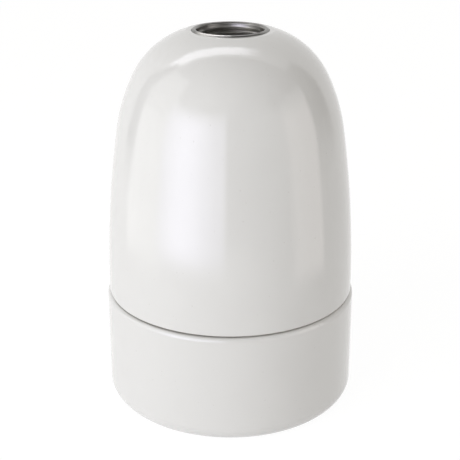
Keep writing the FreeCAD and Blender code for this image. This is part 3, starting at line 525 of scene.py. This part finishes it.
def ring_seam_shade(finish):
    """Painted shade on the ring's ledge, where the dome's rim comes down on it."""
    radius = finish.radius()
    band = finish.between(radius, *SEAM_RADII)
    band = finish.calc("MULTIPLY", band, finish.between(radius, *LEDGE_RADII, 1.0, 0.0))
    return finish.calc("MULTIPLY", band, finish.between(finish.height(), *LEDGE_HEIGHTS))


def ring_bare(finish):
    """The ring is bare on its threaded neck, and on the flat that it stands on."""
    height = finish.height()
    within = finish.calc("LESS_THAN", finish.radius(), NECK_RADIUS)
    neck = finish.calc("MULTIPLY", within, finish.calc("GREATER_THAN", height, NECK_FOOT))
    foot = finish.calc("LESS_THAN", height, FOOT_FLAT)
    return finish.calc("MAXIMUM", neck, foot)


def bisque_finish(settings):
    """Unglazed porcelain, slightly sandy."""
    finish = Finish("plain_porcelain", IOR=1.45)
    grit = finish.noise(0.3 * MM, detail=4.0)
    cloud = finish.noise(6 * MM)
    base = finish.blend(grit, shade(settings.bisque, 0.95), shade(settings.bisque, 1.1))
    pale = finish.calc("MULTIPLY", cloud, PALE_SHARE)
    finish.set(
        Base_Color=finish.blend(pale, base, PALE_PORCELAIN),
        Roughness=finish.between(cloud, low=0.2, high=0.8, to_low=0.5, to_high=0.7),
        Normal=finish.bump(grit, SAND),
    )
    return finish.material


def turned_finish(name, base, roughness, line):
    """Metal with fine rings from turning or rolling, and a little tarnish."""
    finish = Finish(name, Metallic=1.0)
    tarnish = finish.tarnish()
    finish.set(
        Base_Color=finish.blend(tarnish, base, shade(base, TARNISH)),
        Roughness=finish.between(tarnish, 0, 1, roughness, min(1, roughness * 1.35)),
        Normal=finish.bump(finish.rings(line), RINGS),
    )
    return finish.material


def bush_finish(settings):
    """Dull nickel: painted darkest at the left of the bore's mouth and paler deeper in, with a
    painted highlight on the lip's left front.
    """
    finish = Finish("plated_steel", Metallic=1.0)
    x, y, z = finish.split(finish.place)
    inside = finish.calc("LESS_THAN", finish.radius(), BORE_RADIUS)
    outside = finish.calc("SUBTRACT", 1.0, inside)
    lip = finish.calc("MULTIPLY", outside, finish.calc("GREATER_THAN", z, LIP_FOOT))
    # Painted light and shade in the bore: paler deeper down, darker at its left and paler at its
    # right
    deep = finish.between(z, *BORE_HEIGHTS, *BORE_TONES)
    bore = finish.calc("MULTIPLY", deep, finish.between(x, *BORE_WIDTH, *BORE_SIDE_TONES))
    # A painted highlight on the lip's left front, over a lip painted darker all round
    left = finish.between(x, *GLINT_WIDTH, 1.0, 0.0)
    front = finish.between(y, *GLINT_DEPTH, 1.0, 0.0)
    lip_glint = finish.calc("MULTIPLY", left, front)
    painted_lip_tone = finish.calc("MULTIPLY_ADD", lip_glint, GLINT_GAIN, LIP_SHADE)
    tone = 1.0
    for level, where in ((bore, inside), (painted_lip_tone, lip)):
        change = finish.calc("SUBTRACT", level, 1.0)
        tone = finish.calc("MULTIPLY_ADD", change, where, tone)
    tarnish = finish.tarnish()
    base = finish.blend(tarnish, settings.nickel, shade(settings.nickel, TARNISH))
    scaled = finish.add("ShaderNodeVectorMath", {0: base, "Scale": tone}, operation="SCALE")
    finish.set(
        Base_Color=scaled.outputs[0],
        Roughness=finish.between(tarnish, 0, 1, to_low=0.32, to_high=0.43),
        Normal=finish.bump(finish.rings(0.25 * MM), RINGS),
    )
    return finish.material


def plated_finish(name, base, roughness):
    """Smooth metal: bright, faintly clouded and finely scratched."""
    finish = Finish(name, Metallic=1.0)
    cloud = finish.noise(1.2 * MM, detail=4.0)
    scratch = finish.noise(0.12 * MM)
    low, high = roughness * 0.8, roughness * 1.3
    finish.set(
        Base_Color=finish.blend(cloud, shade(base, 0.86), shade(base, 1.1)),
        Roughness=finish.between(scratch, low=0.2, high=0.8, to_low=low, to_high=high),
        Normal=finish.bump(scratch, SCRATCHES),
    )
    return finish.material


def fibre_finish(settings):
    """Vulcanised fibre: dull red, with short pressed fibres."""
    finish = Finish("red_fibre", IOR=1.45)
    fibres = finish.noise(0.4 * MM, detail=6.0)
    finish.set(
        Base_Color=finish.blend(fibres, shade(settings.fibre, 0.75), shade(settings.fibre, 1.3)),
        Roughness=0.7,
        Normal=finish.bump(fibres, FIBRES),
    )
    return finish.material


def make_finishes():
    """One material for each kind of surface, and one for each glazed piece."""
    glaze = bpy.context.scene.lamp_holder_glaze
    metal = bpy.context.scene.lamp_holder_metal
    return {
        "dome_cover": glazed_finish(glaze, "dome_glaze", dome_bare, dome_seam_shade),
        "skirt_ring": glazed_finish(glaze, "ring_glaze", ring_bare, ring_seam_shade),
        "plain_porcelain": bisque_finish(glaze),
        "plated_steel": bush_finish(metal),
        "zinc_steel": plated_finish("zinc_steel", metal.zinc, roughness=0.28),
        "shell_brass": turned_finish("shell_brass", metal.brass, roughness=0.22, line=0.6 * MM),
        "terminal_brass": plated_finish("terminal_brass", metal.brass, roughness=0.3),
        "contact_bronze": plated_finish("contact_bronze", metal.bronze, roughness=0.26),
        "red_fibre": fibre_finish(metal),
    }


def finish_of(node):
    """The piece's own finish, or else that of its kind of surface."""
    return FINISHES.get(node) or FINISHES[SLOTS[node]]


def show(data):
    """Puts a mesh, a lamp or a camera into the scene, at the origin."""
    thing = bpy.data.objects.new(data.name, data)
    bpy.context.scene.collection.objects.link(thing)
    return thing


class LAMPHOLDER_OT_finishes(bpy.types.Operator):
    """Make the finishes and lay them on every piece of the holder"""

    bl_idname = "lamp_holder.finishes"
    bl_label = "Porcelain and Metal Finishes"

    def execute(self, context):
        FINISHES.update(make_finishes())
        for name, node in frame["nodes"].items():
            for place in node.material_slots:
                place.material = finish_of(name)
        return {"FINISHED"}


class Grower(Nodes):
    """A Geometry Nodes tree with named sizes. Its last steps make real faces of one finish."""

    def __init__(self, name, *sizes):
        super().__init__(bpy.data.node_groups.new(name, "GeometryNodeTree"))
        face = self.tree.interface
        for size in sizes:
            face.new_socket(size, in_out="INPUT", socket_type="NodeSocketFloat")
        face.new_socket("Finish", in_out="INPUT", socket_type="NodeSocketMaterial")
        face.new_socket("Geometry", in_out="OUTPUT", socket_type="NodeSocketGeometry")
        self.given = self.add("NodeGroupInput").outputs

    def give(self, shape):
        real = self.add("GeometryNodeRealizeInstances", {0: shape}).outputs[0]
        dressed = self.add(
            "GeometryNodeSetMaterial", {"Geometry": real, "Material": self.given["Finish"]}
        )
        self.add("NodeGroupOutput", {"Geometry": dressed.outputs[0]})

    def thread(self, crest, root, pitch, length, tip, top, around, inward=False):
        """A threaded wall round Z from 0 up to length, its rows of faces following the helix.

        The tip and the top are each a radius and a rise: over the rise at that end the thread
        runs out into a circle of that radius. A shank is closed there, and a bore stays open.
        """
        turns = self.calc("ADD", self.calc("DIVIDE", length, pitch), SPARE_TURNS)
        turns = self.calc("CEIL", turns)
        rows = self.calc("MULTIPLY", turns, ROWS_PER_TURN)
        sheet = self.add(
            "GeometryNodeMeshGrid",
            {
                "Size X": 1.0,
                "Size Y": 1.0,
                "Vertices X": around + 1,
                "Vertices Y": self.calc("ADD", rows, 1.0),
            },
        )
        # The sheet is 1 by 1 and centred: across it runs one turn, and up it run the rows
        x, y, _ = self.split(self.add("GeometryNodeInputPosition").outputs[0])
        share = self.calc("ADD", x, 0.5)
        row = self.calc("ROUND", self.calc("MULTIPLY", self.calc("ADD", y, 0.5), rows))
        travelled = self.calc("DIVIDE", self.calc("SUBTRACT", row, 1.0), ROWS_PER_TURN)
        climb = self.calc("MULTIPLY", self.calc("SUBTRACT", travelled, share), pitch)
        z = self.calc("MINIMUM", self.calc("MAXIMUM", climb, 0.0), length)
        wave = self.calc("COSINE", self.calc("MULTIPLY", travelled, FULL_TURN))
        ridge = self.calc("MULTIPLY_ADD", wave, RIDGE_SLOPE, 0.5, clamp=True)
        radius = self.calc("MULTIPLY_ADD", self.calc("SUBTRACT", crest, root), ridge, root)
        for (end, rise), away in ((tip, z), (top, self.calc("SUBTRACT", length, z))):
            full = self.calc("DIVIDE", away, rise, clamp=True)
            radius = self.calc("MULTIPLY_ADD", self.calc("SUBTRACT", radius, end), full, end)
        if not inward:
            last = self.calc("SUBTRACT", rows, 0.5)
            for kept in (self.calc("GREATER_THAN", row, 0.5), self.calc("LESS_THAN", row, last)):
                radius = self.calc("MULTIPLY", radius, kept)
        angle = self.calc("MULTIPLY", share, FULL_TURN)
        place = self.join(
            self.calc("MULTIPLY", radius, self.calc("COSINE", angle)),
            self.calc("MULTIPLY", radius, self.calc("SINE", angle)),
            z,
        )
        wall = self.moved(sheet.outputs[0], place)
        if inward:
            wall = self.add("GeometryNodeFlipFaces", {"Mesh": wall}).outputs[0]
        return self.add("GeometryNodeMergeByDistance", {0: wall, "Distance": MERGE}).outputs[0]

    def moved(self, shape, place):
        """Sets each point of the shape to its own place."""
        return self.add("GeometryNodeSetPosition", {0: shape, "Position": place}).outputs[0]

    def shifted(self, shape, z):
        """Lifts the shape by z."""
        place = self.join(0.0, 0.0, z)
        return self.add("GeometryNodeTransform", {0: shape, "Translation": place}).outputs[0]

    def cut(self, shape, tool):
        """Takes the tool's space away from the shape."""
        node = self.add(
            "GeometryNodeMeshBoolean", {0: shape}, operation="DIFFERENCE", solver="EXACT"
        )
        self.tree.links.new(tool, node.inputs[1])
        return node.outputs[0]


def screw_grower():
    """A slotted screw along Z: its shank below 0 and its round-edged head above."""
    tree = Grower(
        "slotted_screw",
        "Shank Radius",
        "Thread Depth",
        "Pitch",
        "Shank Length",
        "Tip Radius",
        "Tip Rise",
        "Head Radius",
        "Head Height",
        "Slot Width",
        "Slot Depth",
    )
    given = tree.given
    crest, pitch, length = given["Shank Radius"], given["Pitch"], given["Shank Length"]
    wide, height = given["Head Radius"], given["Head Height"]
    root = tree.calc("SUBTRACT", crest, given["Thread Depth"])
    tip = (given["Tip Radius"], given["Tip Rise"])
    top = (root, tree.calc("MULTIPLY", pitch, RUN_OUT))
    shank = tree.thread(crest, root, pitch, length, tip, top, SCREW_SIDES)
    shank = tree.shifted(shank, tree.calc("MULTIPLY", length, -1.0))

    blank = tree.add(
        "GeometryNodeMeshCylinder",
        {
            "Vertices": SCREW_SIDES * 2,
            "Side Segments": HEAD_ROWS,
            "Radius": wide,
            "Depth": height,
        },
    ).outputs[0]
    x, y, z = tree.split(tree.add("GeometryNodeInputPosition").outputs[0])
    edge = tree.calc("MULTIPLY", height, HEAD_ROUND)
    start = tree.calc("SUBTRACT", tree.calc("MULTIPLY", height, 0.5), edge)
    over = tree.calc("DIVIDE", tree.calc("SUBTRACT", z, start), edge, clamp=True)
    left = tree.calc("SQRT", tree.calc("SUBTRACT", 1.0, tree.calc("MULTIPLY", over, over)))
    lost = tree.calc("MULTIPLY", edge, tree.calc("SUBTRACT", 1.0, left))
    scale = tree.calc("SUBTRACT", 1.0, tree.calc("DIVIDE", lost, wide))
    place = tree.join(tree.calc("MULTIPLY", x, scale), tree.calc("MULTIPLY", y, scale), z)
    head = tree.shifted(tree.moved(blank, place), tree.calc("MULTIPLY", height, 0.5))

    across = tree.calc("MULTIPLY", wide, SLOT_REACH)
    tall = tree.calc("MULTIPLY", given["Slot Depth"], 2.0)
    size = tree.join(across, given["Slot Width"], tall)
    cutter = tree.add("GeometryNodeMeshCube", {"Size": size}).outputs[0]
    cutter = tree.shifted(cutter, height)
    has_head = tree.calc("GREATER_THAN", height, 0.0)
    head = tree.add(
        "GeometryNodeSwitch",
        {"Switch": has_head, "True": tree.cut(head, cutter)},
        input_type="GEOMETRY",
    ).outputs[0]
    parts = tree.add("GeometryNodeJoinGeometry").inputs[0]
    for piece in (head, tree.cut(shank, cutter)):
        tree.tree.links.new(piece, parts)
    tree.give(parts.node.outputs[0])
    return tree.tree


def bore_grower():
    """The threaded bore of the bush, from 0 up to its length, open at both ends."""
    tree = Grower(
        "threaded_bore", "Crest Radius", "Thread Depth", "End Radius", "Pitch", "Length"
    )
    given = tree.given
    crest, pitch = given["Crest Radius"], given["Pitch"]
    root = tree.calc("ADD", crest, given["Thread Depth"])
    end = (given["End Radius"], tree.calc("MULTIPLY", pitch, RUN_OUT))
    tree.give(tree.thread(crest, root, pitch, given["Length"], end, end, BUSH_SIDES, inward=True))
    return tree.tree


def grow(name, tree, finish, **sizes):
    """Runs a tree with these sizes and gives back its plain mesh."""
    blank = bpy.data.meshes.new("blank")
    holder = show(blank)
    modifier = holder.modifiers.new("shape", "NODES")
    modifier.node_group = tree
    for socket in tree.interface.items_tree:
        if socket.in_out == "INPUT":
            key = socket.name.lower().replace(" ", "_")
            modifier[socket.identifier] = finish if key == "finish" else sizes[key]
    holder.update_tag()
    bpy.context.view_layer.update()
    ready = holder.evaluated_get(bpy.context.evaluated_depsgraph_get())
    mesh = bpy.data.meshes.new_from_object(ready)
    holder.modifiers.clear()
    bpy.data.objects.remove(holder)
    bpy.data.meshes.remove(blank)
    mesh.name = name
    mesh.materials.clear()
    mesh.materials.append(finish)
    return mesh


def smooth(mesh):
    """Shades a mesh smooth, apart from its sharp edges."""
    shape = bmesh.new()
    shape.from_mesh(mesh)
    for face in shape.faces:
        face.smooth, face.material_index = True, 0
    for edge in shape.edges:
        edge.smooth = len(edge.link_faces) == 2 and edge.calc_face_angle(0) < SMOOTH_ANGLE
    shape.to_mesh(mesh)
    shape.free()


def stand_in(mesh, node):
    """A finished mesh takes the place of the plain piece, on the same body."""
    smooth(mesh)
    piece = show(mesh)
    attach(piece, body_of(node))
    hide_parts(node)


def body_of(node):
    """The body that carries the piece."""
    bodies = frame["record"]["behaviour"]["bodies"]
    return next(body for body, nodes in bodies.items() if node in nodes)


def make_screw(tree, node, shank, pitch, attitude):
    """One screw in the place of the plain one."""
    settings = bpy.context.scene.lamp_holder_thread
    low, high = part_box(node)
    middle = (low + high) / 2
    size = attitude.to_3x3().inverted() @ (high - low)
    width, length = abs(size.y), abs(size.z)
    height = HEAD_HEIGHTS.get(node, 0.0)
    tip = shank * TIP_SHARE if height else settings.lock_cone
    mesh = grow(
        "threaded_" + node,
        tree,
        finish_of(node),
        shank_radius=shank,
        thread_depth=pitch * settings.screw_depth,
        pitch=pitch,
        shank_length=length - height,
        tip_radius=shank - tip,
        tip_rise=tip,
        head_radius=width / 2,
        head_height=height,
        slot_width=settings.slot_width,
        slot_depth=settings.slot_depth,
    )
    seat = Vector((0, 0, length / 2 - height))
    mesh.transform(Matrix.Translation(middle) @ attitude @ Matrix.Translation(seat))
    stand_in(mesh, node)


class LAMPHOLDER_OT_screws(bpy.types.Operator):
    """Cut the threads and the slots of all six screws"""

    bl_idname = "lamp_holder.screws"
    bl_label = "Slotted Screws"

    def execute(self, context):
        settings = context.scene.lamp_holder_thread
        clamp = (settings.clamp_radius, settings.screw_pitch)
        small = (settings.small_radius, settings.small_pitch)
        tree = screw_grower()
        for side in ("live", "neutral"):
            make_screw(tree, side + "_clamp_screw", *clamp, UP)
            make_screw(tree, side + "_fixing_screw", *small, DOWN)
        make_screw(tree, "earth_clamp_screw", *small, DOWN)
        make_screw(tree, "locking_screw", *small, TO_LIVE_SIDE)
        bpy.data.node_groups.remove(tree)
        return {"FINISHED"}


def lathe(mesh, profile, around):
    """Adds a turned wall to a bmesh from its profile of radii and heights, outside first."""
    rings = []
    for radius, z in profile:
        ring = []
        for step in range(around):
            turn = FULL_TURN * step / around
            ring.append(mesh.verts.new((radius * math.cos(turn), radius * math.sin(turn), z)))
        rings.append(ring)
    for low, high in zip(rings, rings[1:]):
        for step in range(around):
            after = (step + 1) % around
            mesh.faces.new((low[step], low[after], high[after], high[step]))


def drill(mesh, radius, place, attitude, length):
    """Cuts a round hole of some length into a mesh, from a place onwards."""
    centre = Matrix.Translation(place) @ attitude @ Matrix.Translation((0, 0, length / 2))
    bit = bmesh.new()
    bmesh.ops.create_cone(
        bit,
        cap_ends=True,
        segments=SCREW_SIDES * 2,
        radius1=radius,
        radius2=radius,
        depth=length,
        matrix=centre,
    )
    tool = bpy.data.meshes.new("hole")
    bit.to_mesh(tool)
    bit.free()
    cutter, blank = show(tool), show(mesh)
    modifier = blank.modifiers.new("hole", "BOOLEAN")
    modifier.operation = "DIFFERENCE"
    modifier.solver = "EXACT"
    modifier.object = cutter
    bpy.context.view_layer.update()
    ready = blank.evaluated_get(bpy.context.evaluated_depsgraph_get())
    drilled = bpy.data.meshes.new_from_object(ready)
    blank.modifiers.clear()
    for thing in (cutter, blank):
        bpy.data.objects.remove(thing)
    return drilled


def bush_profile(settings, foot, top, head):
    """The bush's wall from its foot out, up and over the rolled lip, as radii and heights."""
    head_top = foot + settings.head_height
    lip_foot = top - settings.lip_height
    bead, chamfer = settings.lip_bead, settings.chamfer
    middle = settings.mouth_radius + bead
    profile = [
        (settings.mouth_radius, foot),
        (head - chamfer, foot),
        (head, foot + chamfer),
        (head, head_top),
        (settings.neck_radius, head_top),
        (settings.neck_radius, lip_foot),
        (middle + bead, lip_foot),
    ]
    for step in range(BEAD_STEPS + 1):
        turn = math.pi * step / BEAD_STEPS
        profile.append((middle + bead * math.cos(turn), top - bead + bead * math.sin(turn)))
    profile.append((settings.mouth_radius, top - settings.mouth_depth))
    return profile


class LAMPHOLDER_OT_bush(bpy.types.Operator):
    """Turn the entry bush with its rolled lip, its fine thread and its two screw holes"""

    bl_idname = "lamp_holder.bush"
    bl_label = "Threaded Entry Bush"

    def execute(self, context):
        settings = context.scene.lamp_holder_bush
        low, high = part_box("entry_bush")
        foot, top, head = low.z, high.z, high.x
        tree = bore_grower()
        bore = grow(
            "bore",
            tree,
            finish_of("entry_bush"),
            crest_radius=settings.crest_radius,
            thread_depth=settings.thread_depth,
            end_radius=settings.mouth_radius,
            pitch=settings.pitch,
            length=top - foot - settings.mouth_depth,
        )
        bpy.data.node_groups.remove(tree)
        bore.transform(Matrix.Translation((0, 0, foot)))
        shape = bmesh.new()
        shape.from_mesh(bore)
        lathe(shape, bush_profile(settings, foot, top, head), BUSH_SIDES)
        bmesh.ops.remove_doubles(shape, verts=shape.verts, dist=WELD)
        shape.to_mesh(bore)
        shape.free()
        lock, earth = (sum(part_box(node), Vector()) / 2 for node in SCREWS_IN_BUSH)
        spare = settings.chamfer
        lock.x, earth.z = 0.0, foot - spare
        for place, attitude, reach in (
            (lock, TO_LIVE_SIDE, head + spare),
            (earth, UP, settings.earth_depth + spare),
        ):
            bore = drill(bore, settings.hole_radius, place, attitude, reach)
        bore.name = "threaded_entry_bush"
        stand_in(bore, "entry_bush")
        return {"FINISHED"}


class Card:
    """A card beside the holder that only the glaze and the metals mirror.

    Its light is its strength at its start and at its end. Its fade is the share of it over
    which it fades out at its start, its end, its foot and its top, and 0 leaves a sharp edge.
    A card that lies overhead has its start at the left and its foot in front.
    """

    def __init__(self, name, light, fade, tint=(1, 1, 1)):
        self.name = name
        self.light = light
        self.fade = fade
        self.tint = tint

    def wrap(self, start, end, low, high, reach=CARD_REACH):
        """Bends the card round the holder's axis. Angles in degrees run from the camera's side."""
        rows = []
        for step in range(CARD_STEPS + 1):
            angle = math.radians(start + (end - start) * step / CARD_STEPS)
            foot = (reach * math.sin(angle), -reach * math.cos(angle))
            rows.append(((*foot, low), (*foot, high)))
        self.build(rows)

    def lay(self, left, right, front, back):
        """Lays the card flat overhead."""
        self.build([((x, front, CARD_HEIGHT), (x, back, CARD_HEIGHT)) for x in (left, right)])

    def build(self, rows):
        """Makes the card from the lower and the upper corner of each of its columns."""
        mesh = bmesh.new()
        shares = mesh.loops.layers.uv.new("card")
        columns = [[mesh.verts.new(corner) for corner in row] for row in rows]
        last = len(rows) - 1
        for step in range(last):
            near, far = columns[step], columns[step + 1]
            face = mesh.faces.new((near[0], far[0], far[1], near[1]))
            for loop, (along, up) in zip(face.loops, ((0, 0), (1, 0), (1, 1), (0, 1))):
                loop[shares].uv = ((step + along) / last, up)
        data = bpy.data.meshes.new(self.name)
        mesh.to_mesh(data)
        mesh.free()
        data.materials.append(self.glow())
        card = show(data)
        card.visible_camera = False
        card.visible_diffuse = False
        card.visible_shadow = False
        card.visible_transmission = False

    def glow(self):
        """Light that runs from one strength to the other, and fades out towards the edges."""
        material = bpy.data.materials.new(self.name)
        material.use_nodes = True
        nodes = Nodes(material.node_tree)
        nodes.tree.nodes.clear()
        along, up, _ = nodes.split(nodes.add("ShaderNodeUVMap").outputs[0])
        back, down = (nodes.calc("SUBTRACT", 1.0, place) for place in (along, up))
        share = 1.0
        for place, width in zip((along, back, up, down), self.fade):
            if width:
                share = nodes.calc("MULTIPLY", share, nodes.between(place, 0, width))
        strength = nodes.between(along, 0, 1, *self.light)
        light = nodes.add("ShaderNodeEmission", {"Color": (*self.tint, 1), "Strength": strength})
        clear = nodes.add("ShaderNodeBsdfTransparent")
        mix = nodes.add("ShaderNodeMixShader", {0: share, 1: clear.outputs[0], 2: light.outputs[0]})
        nodes.add("ShaderNodeOutputMaterial", {"Surface": mix.outputs[0]})
        return material


def add_key_light(power):
    """The large soft light at the left. The glaze mirrors the cards and not this lamp."""
    light = bpy.data.lights.new("key_light", "AREA")
    light.shape = "RECTANGLE"
    light.size, light.size_y = KEY_SIZE
    light.energy = power
    light.color = KEY_COLOUR
    lamp = show(light)
    lamp.location = KEY_PLACE
    lamp.rotation_mode = "QUATERNION"
    lamp.rotation_quaternion = (KEY_AIM - KEY_PLACE).to_track_quat("-Z", "Y")
    lamp.visible_glossy = False


def seen_rays(nodes):
    """1 for the rays that see or mirror the background, and 0 for those that light by it."""
    rays = nodes.add("ShaderNodeLightPath").outputs
    seen = nodes.calc("MAXIMUM", rays["Is Camera Ray"], rays["Is Glossy Ray"])
    return nodes.calc("MAXIMUM", seen, rays["Is Transmission Ray"])


def add_floor(tint):
    """The floor: white to the eye, and it keeps a faint shadow."""
    mesh = bpy.data.meshes.new("floor")
    ways = ((-1, -1), (1, -1), (1, 1), (-1, 1))
    corners = [(x * FLOOR_REACH, y * FLOOR_REACH, 0) for x, y in ways]
    mesh.from_pydata(corners, [], [(0, 1, 2, 3)])
    material = bpy.data.materials.new("floor")
    material.use_nodes = True
    nodes = Nodes(material.node_tree)
    nodes.tree.nodes.clear()
    lifted = nodes.calc("MULTIPLY", seen_rays(nodes), FLOOR_LIFT)
    matte = nodes.add("ShaderNodeBsdfDiffuse", {"Color": (*tint, 1)})
    white = nodes.add("ShaderNodeEmission", {"Color": (1, 1, 1, 1), "Strength": FLOOR_WHITE})
    mix = nodes.add("ShaderNodeMixShader", {0: lifted, 1: matte.outputs[0], 2: white.outputs[0]})
    nodes.add("ShaderNodeOutputMaterial", {"Surface": mix.outputs[0]})
    mesh.materials.append(material)
    show(mesh)


def light_the_world(strength, tint, overhead):
    """Soft light from all round, weaker from overhead. The background itself is white."""
    world = bpy.data.worlds.new("studio")
    world.use_nodes = True
    bpy.context.scene.world = world
    nodes = Nodes(world.node_tree)
    background = nodes.tree.nodes["Background"]
    up = nodes.split(nodes.add("ShaderNodeTexCoord").outputs["Generated"])[2]
    level = nodes.between(up, 0, 1, strength, strength * overhead)
    seen = seen_rays(nodes)
    mix = nodes.add("ShaderNodeMix", {"Factor": seen}, data_type="RGBA")
    mix.inputs[6].default_value = (*tint, 1)
    mix.inputs[7].default_value = (1, 1, 1, 1)
    nodes.feed(background.inputs["Color"], mix.outputs[2])
    lift = nodes.calc("MULTIPLY", seen, nodes.calc("SUBTRACT", 1.0, level))
    nodes.feed(background.inputs["Strength"], nodes.calc("ADD", level, lift))


def add_cards():
    """What the glaze mirrors: a window at the left, paler cards, and dark flags between them."""
    window = Card("window_left", (2.4, 5.4), (0.35, 0.0, 0.14, 0.24), WINDOW_TINT)
    window.wrap(-66, -38, *WINDOW_EDGES)
    window = Card("window_right", (5.4, 2.5), (0.0, 0.08, 0.14, 0.24), WINDOW_TINT)
    window.wrap(-38, -3, *WINDOW_EDGES)
    left = Card("left_card", (1.8, 2.0), (0.1, 0.08, 0.15, 0.3))
    left.wrap(-101, -56, 4 * MM, 100 * MM, LEFT_REACH)
    left = Card("left_card_top", (1.2, 1.4), (0.1, 0.06, 0.15, 0.04))
    left.wrap(-101, -56, 80 * MM, 158 * MM, LEFT_REACH)
    flag = Card("left_flag", (0.0, 0.0), (0.2, 0.2, 0.25, 0.1))
    flag.wrap(-112, -93, 30 * MM, 120 * MM)
    flag = Card("left_flag_top", (0.0, 0.0), (0.2, 0.2, 0.1, 0.1))
    flag.wrap(-106, -92, 105 * MM, 165 * MM)
    right = Card("right_card", (2.3, 2.3), (0.3, 0.15, 0.1, 0.2), (1, 0.95, 0.93))
    right.wrap(46, 86, 3 * MM, 100 * MM)
    flag = Card("right_flag", (0.0, 0.0), (0.15, 0.25, 0.4, 0.1))
    flag.wrap(82, 116, 30 * MM, 150 * MM)
    flag = Card("camera_flag", (0.0, 0.8), (0.0, 0.2, 0.3, 0.1))
    flag.wrap(-3, 48, 12 * MM, 104 * MM)
    flag = Card("front_flag", (0.1, 0.1), (0.1, 0.1, 0.1, 0.02))
    flag.lay(-0.6, 0.6, -0.6, 0.04)
    strip = Card("overhead_strip", (4.6, 5.2), (0.2, 0.25, 0.1, 0.2), (0.95, 0.95, 1))
    strip.lay(-0.36, 0.13, 0.056, 0.155)


def add_camera(settings):
    """The camera, level with its sides and tilted down at the holder."""
    camera = bpy.data.cameras.new("camera")
    camera.lens = settings.lens
    camera.shift_x = settings.shift
    viewer = show(camera)
    viewer.location = (0, -settings.distance, settings.height)
    viewer.rotation_euler = (math.pi / 2 - settings.tilt, 0, 0)
    bpy.context.scene.camera = viewer


class LAMPHOLDER_OT_studio(bpy.types.Operator):
    """Set the pale floor, the soft lights, the cards and the camera"""

    bl_idname = "lamp_holder.studio"
    bl_label = "Studio"

    def execute(self, context):
        settings = context.scene.lamp_holder_studio
        context.scene.view_settings.view_transform = "Standard"
        light_the_world(settings.daylight, settings.daylight_tint, settings.overhead)
        add_floor(settings.floor)
        add_key_light(settings.key)
        add_cards()
        add_camera(settings)
        return {"FINISHED"}


class LAMPHOLDER_PT_sidebar(bpy.types.Panel):
    """The lamp holder's steps and settings"""

    bl_idname = "LAMPHOLDER_PT_sidebar"
    bl_label = "Lamp Holder"
    bl_space_type = "VIEW_3D"
    bl_region_type = "UI"
    bl_category = "Lamp Holder"

    def draw(self, context):
        for group, steps in STEPS:
            box = self.layout.box()
            for step in steps:
                box.operator(step.bl_idname)
            settings = getattr(context.scene, group)
            for name in settings.bl_rna.properties.keys():
                if name not in ("rna_type", "name"):
                    box.prop(settings, name)


SETTINGS = {
    "lamp_holder_glaze": GlazeSettings,
    "lamp_holder_metal": MetalSettings,
    "lamp_holder_bush": BushSettings,
    "lamp_holder_thread": ThreadSettings,
    "lamp_holder_studio": StudioSettings,
}
STEPS = (
    ("lamp_holder_glaze", (LAMPHOLDER_OT_finishes,)),
    ("lamp_holder_metal", ()),
    ("lamp_holder_bush", (LAMPHOLDER_OT_bush,)),
    ("lamp_holder_thread", (LAMPHOLDER_OT_screws,)),
    ("lamp_holder_studio", (LAMPHOLDER_OT_studio,)),
)
CLASSES = (
    *SETTINGS.values(),
    LAMPHOLDER_OT_finishes,
    LAMPHOLDER_OT_bush,
    LAMPHOLDER_OT_screws,
    LAMPHOLDER_OT_studio,
    LAMPHOLDER_PT_sidebar,
)


def register():
    for each in CLASSES:
        bpy.utils.register_class(each)
    for name, group in SETTINGS.items():
        setattr(bpy.types.Scene, name, bpy.props.PointerProperty(type=group))


def unregister():
    for name in SETTINGS:
        delattr(bpy.types.Scene, name)
    for each in reversed(CLASSES):
        bpy.utils.unregister_class(each)


def main():
    register()
    bpy.ops.lamp_holder.finishes()
    bpy.ops.lamp_holder.bush()
    bpy.ops.lamp_holder.screws()
    bpy.ops.lamp_holder.studio()


if __name__ == "__main__":
    main()
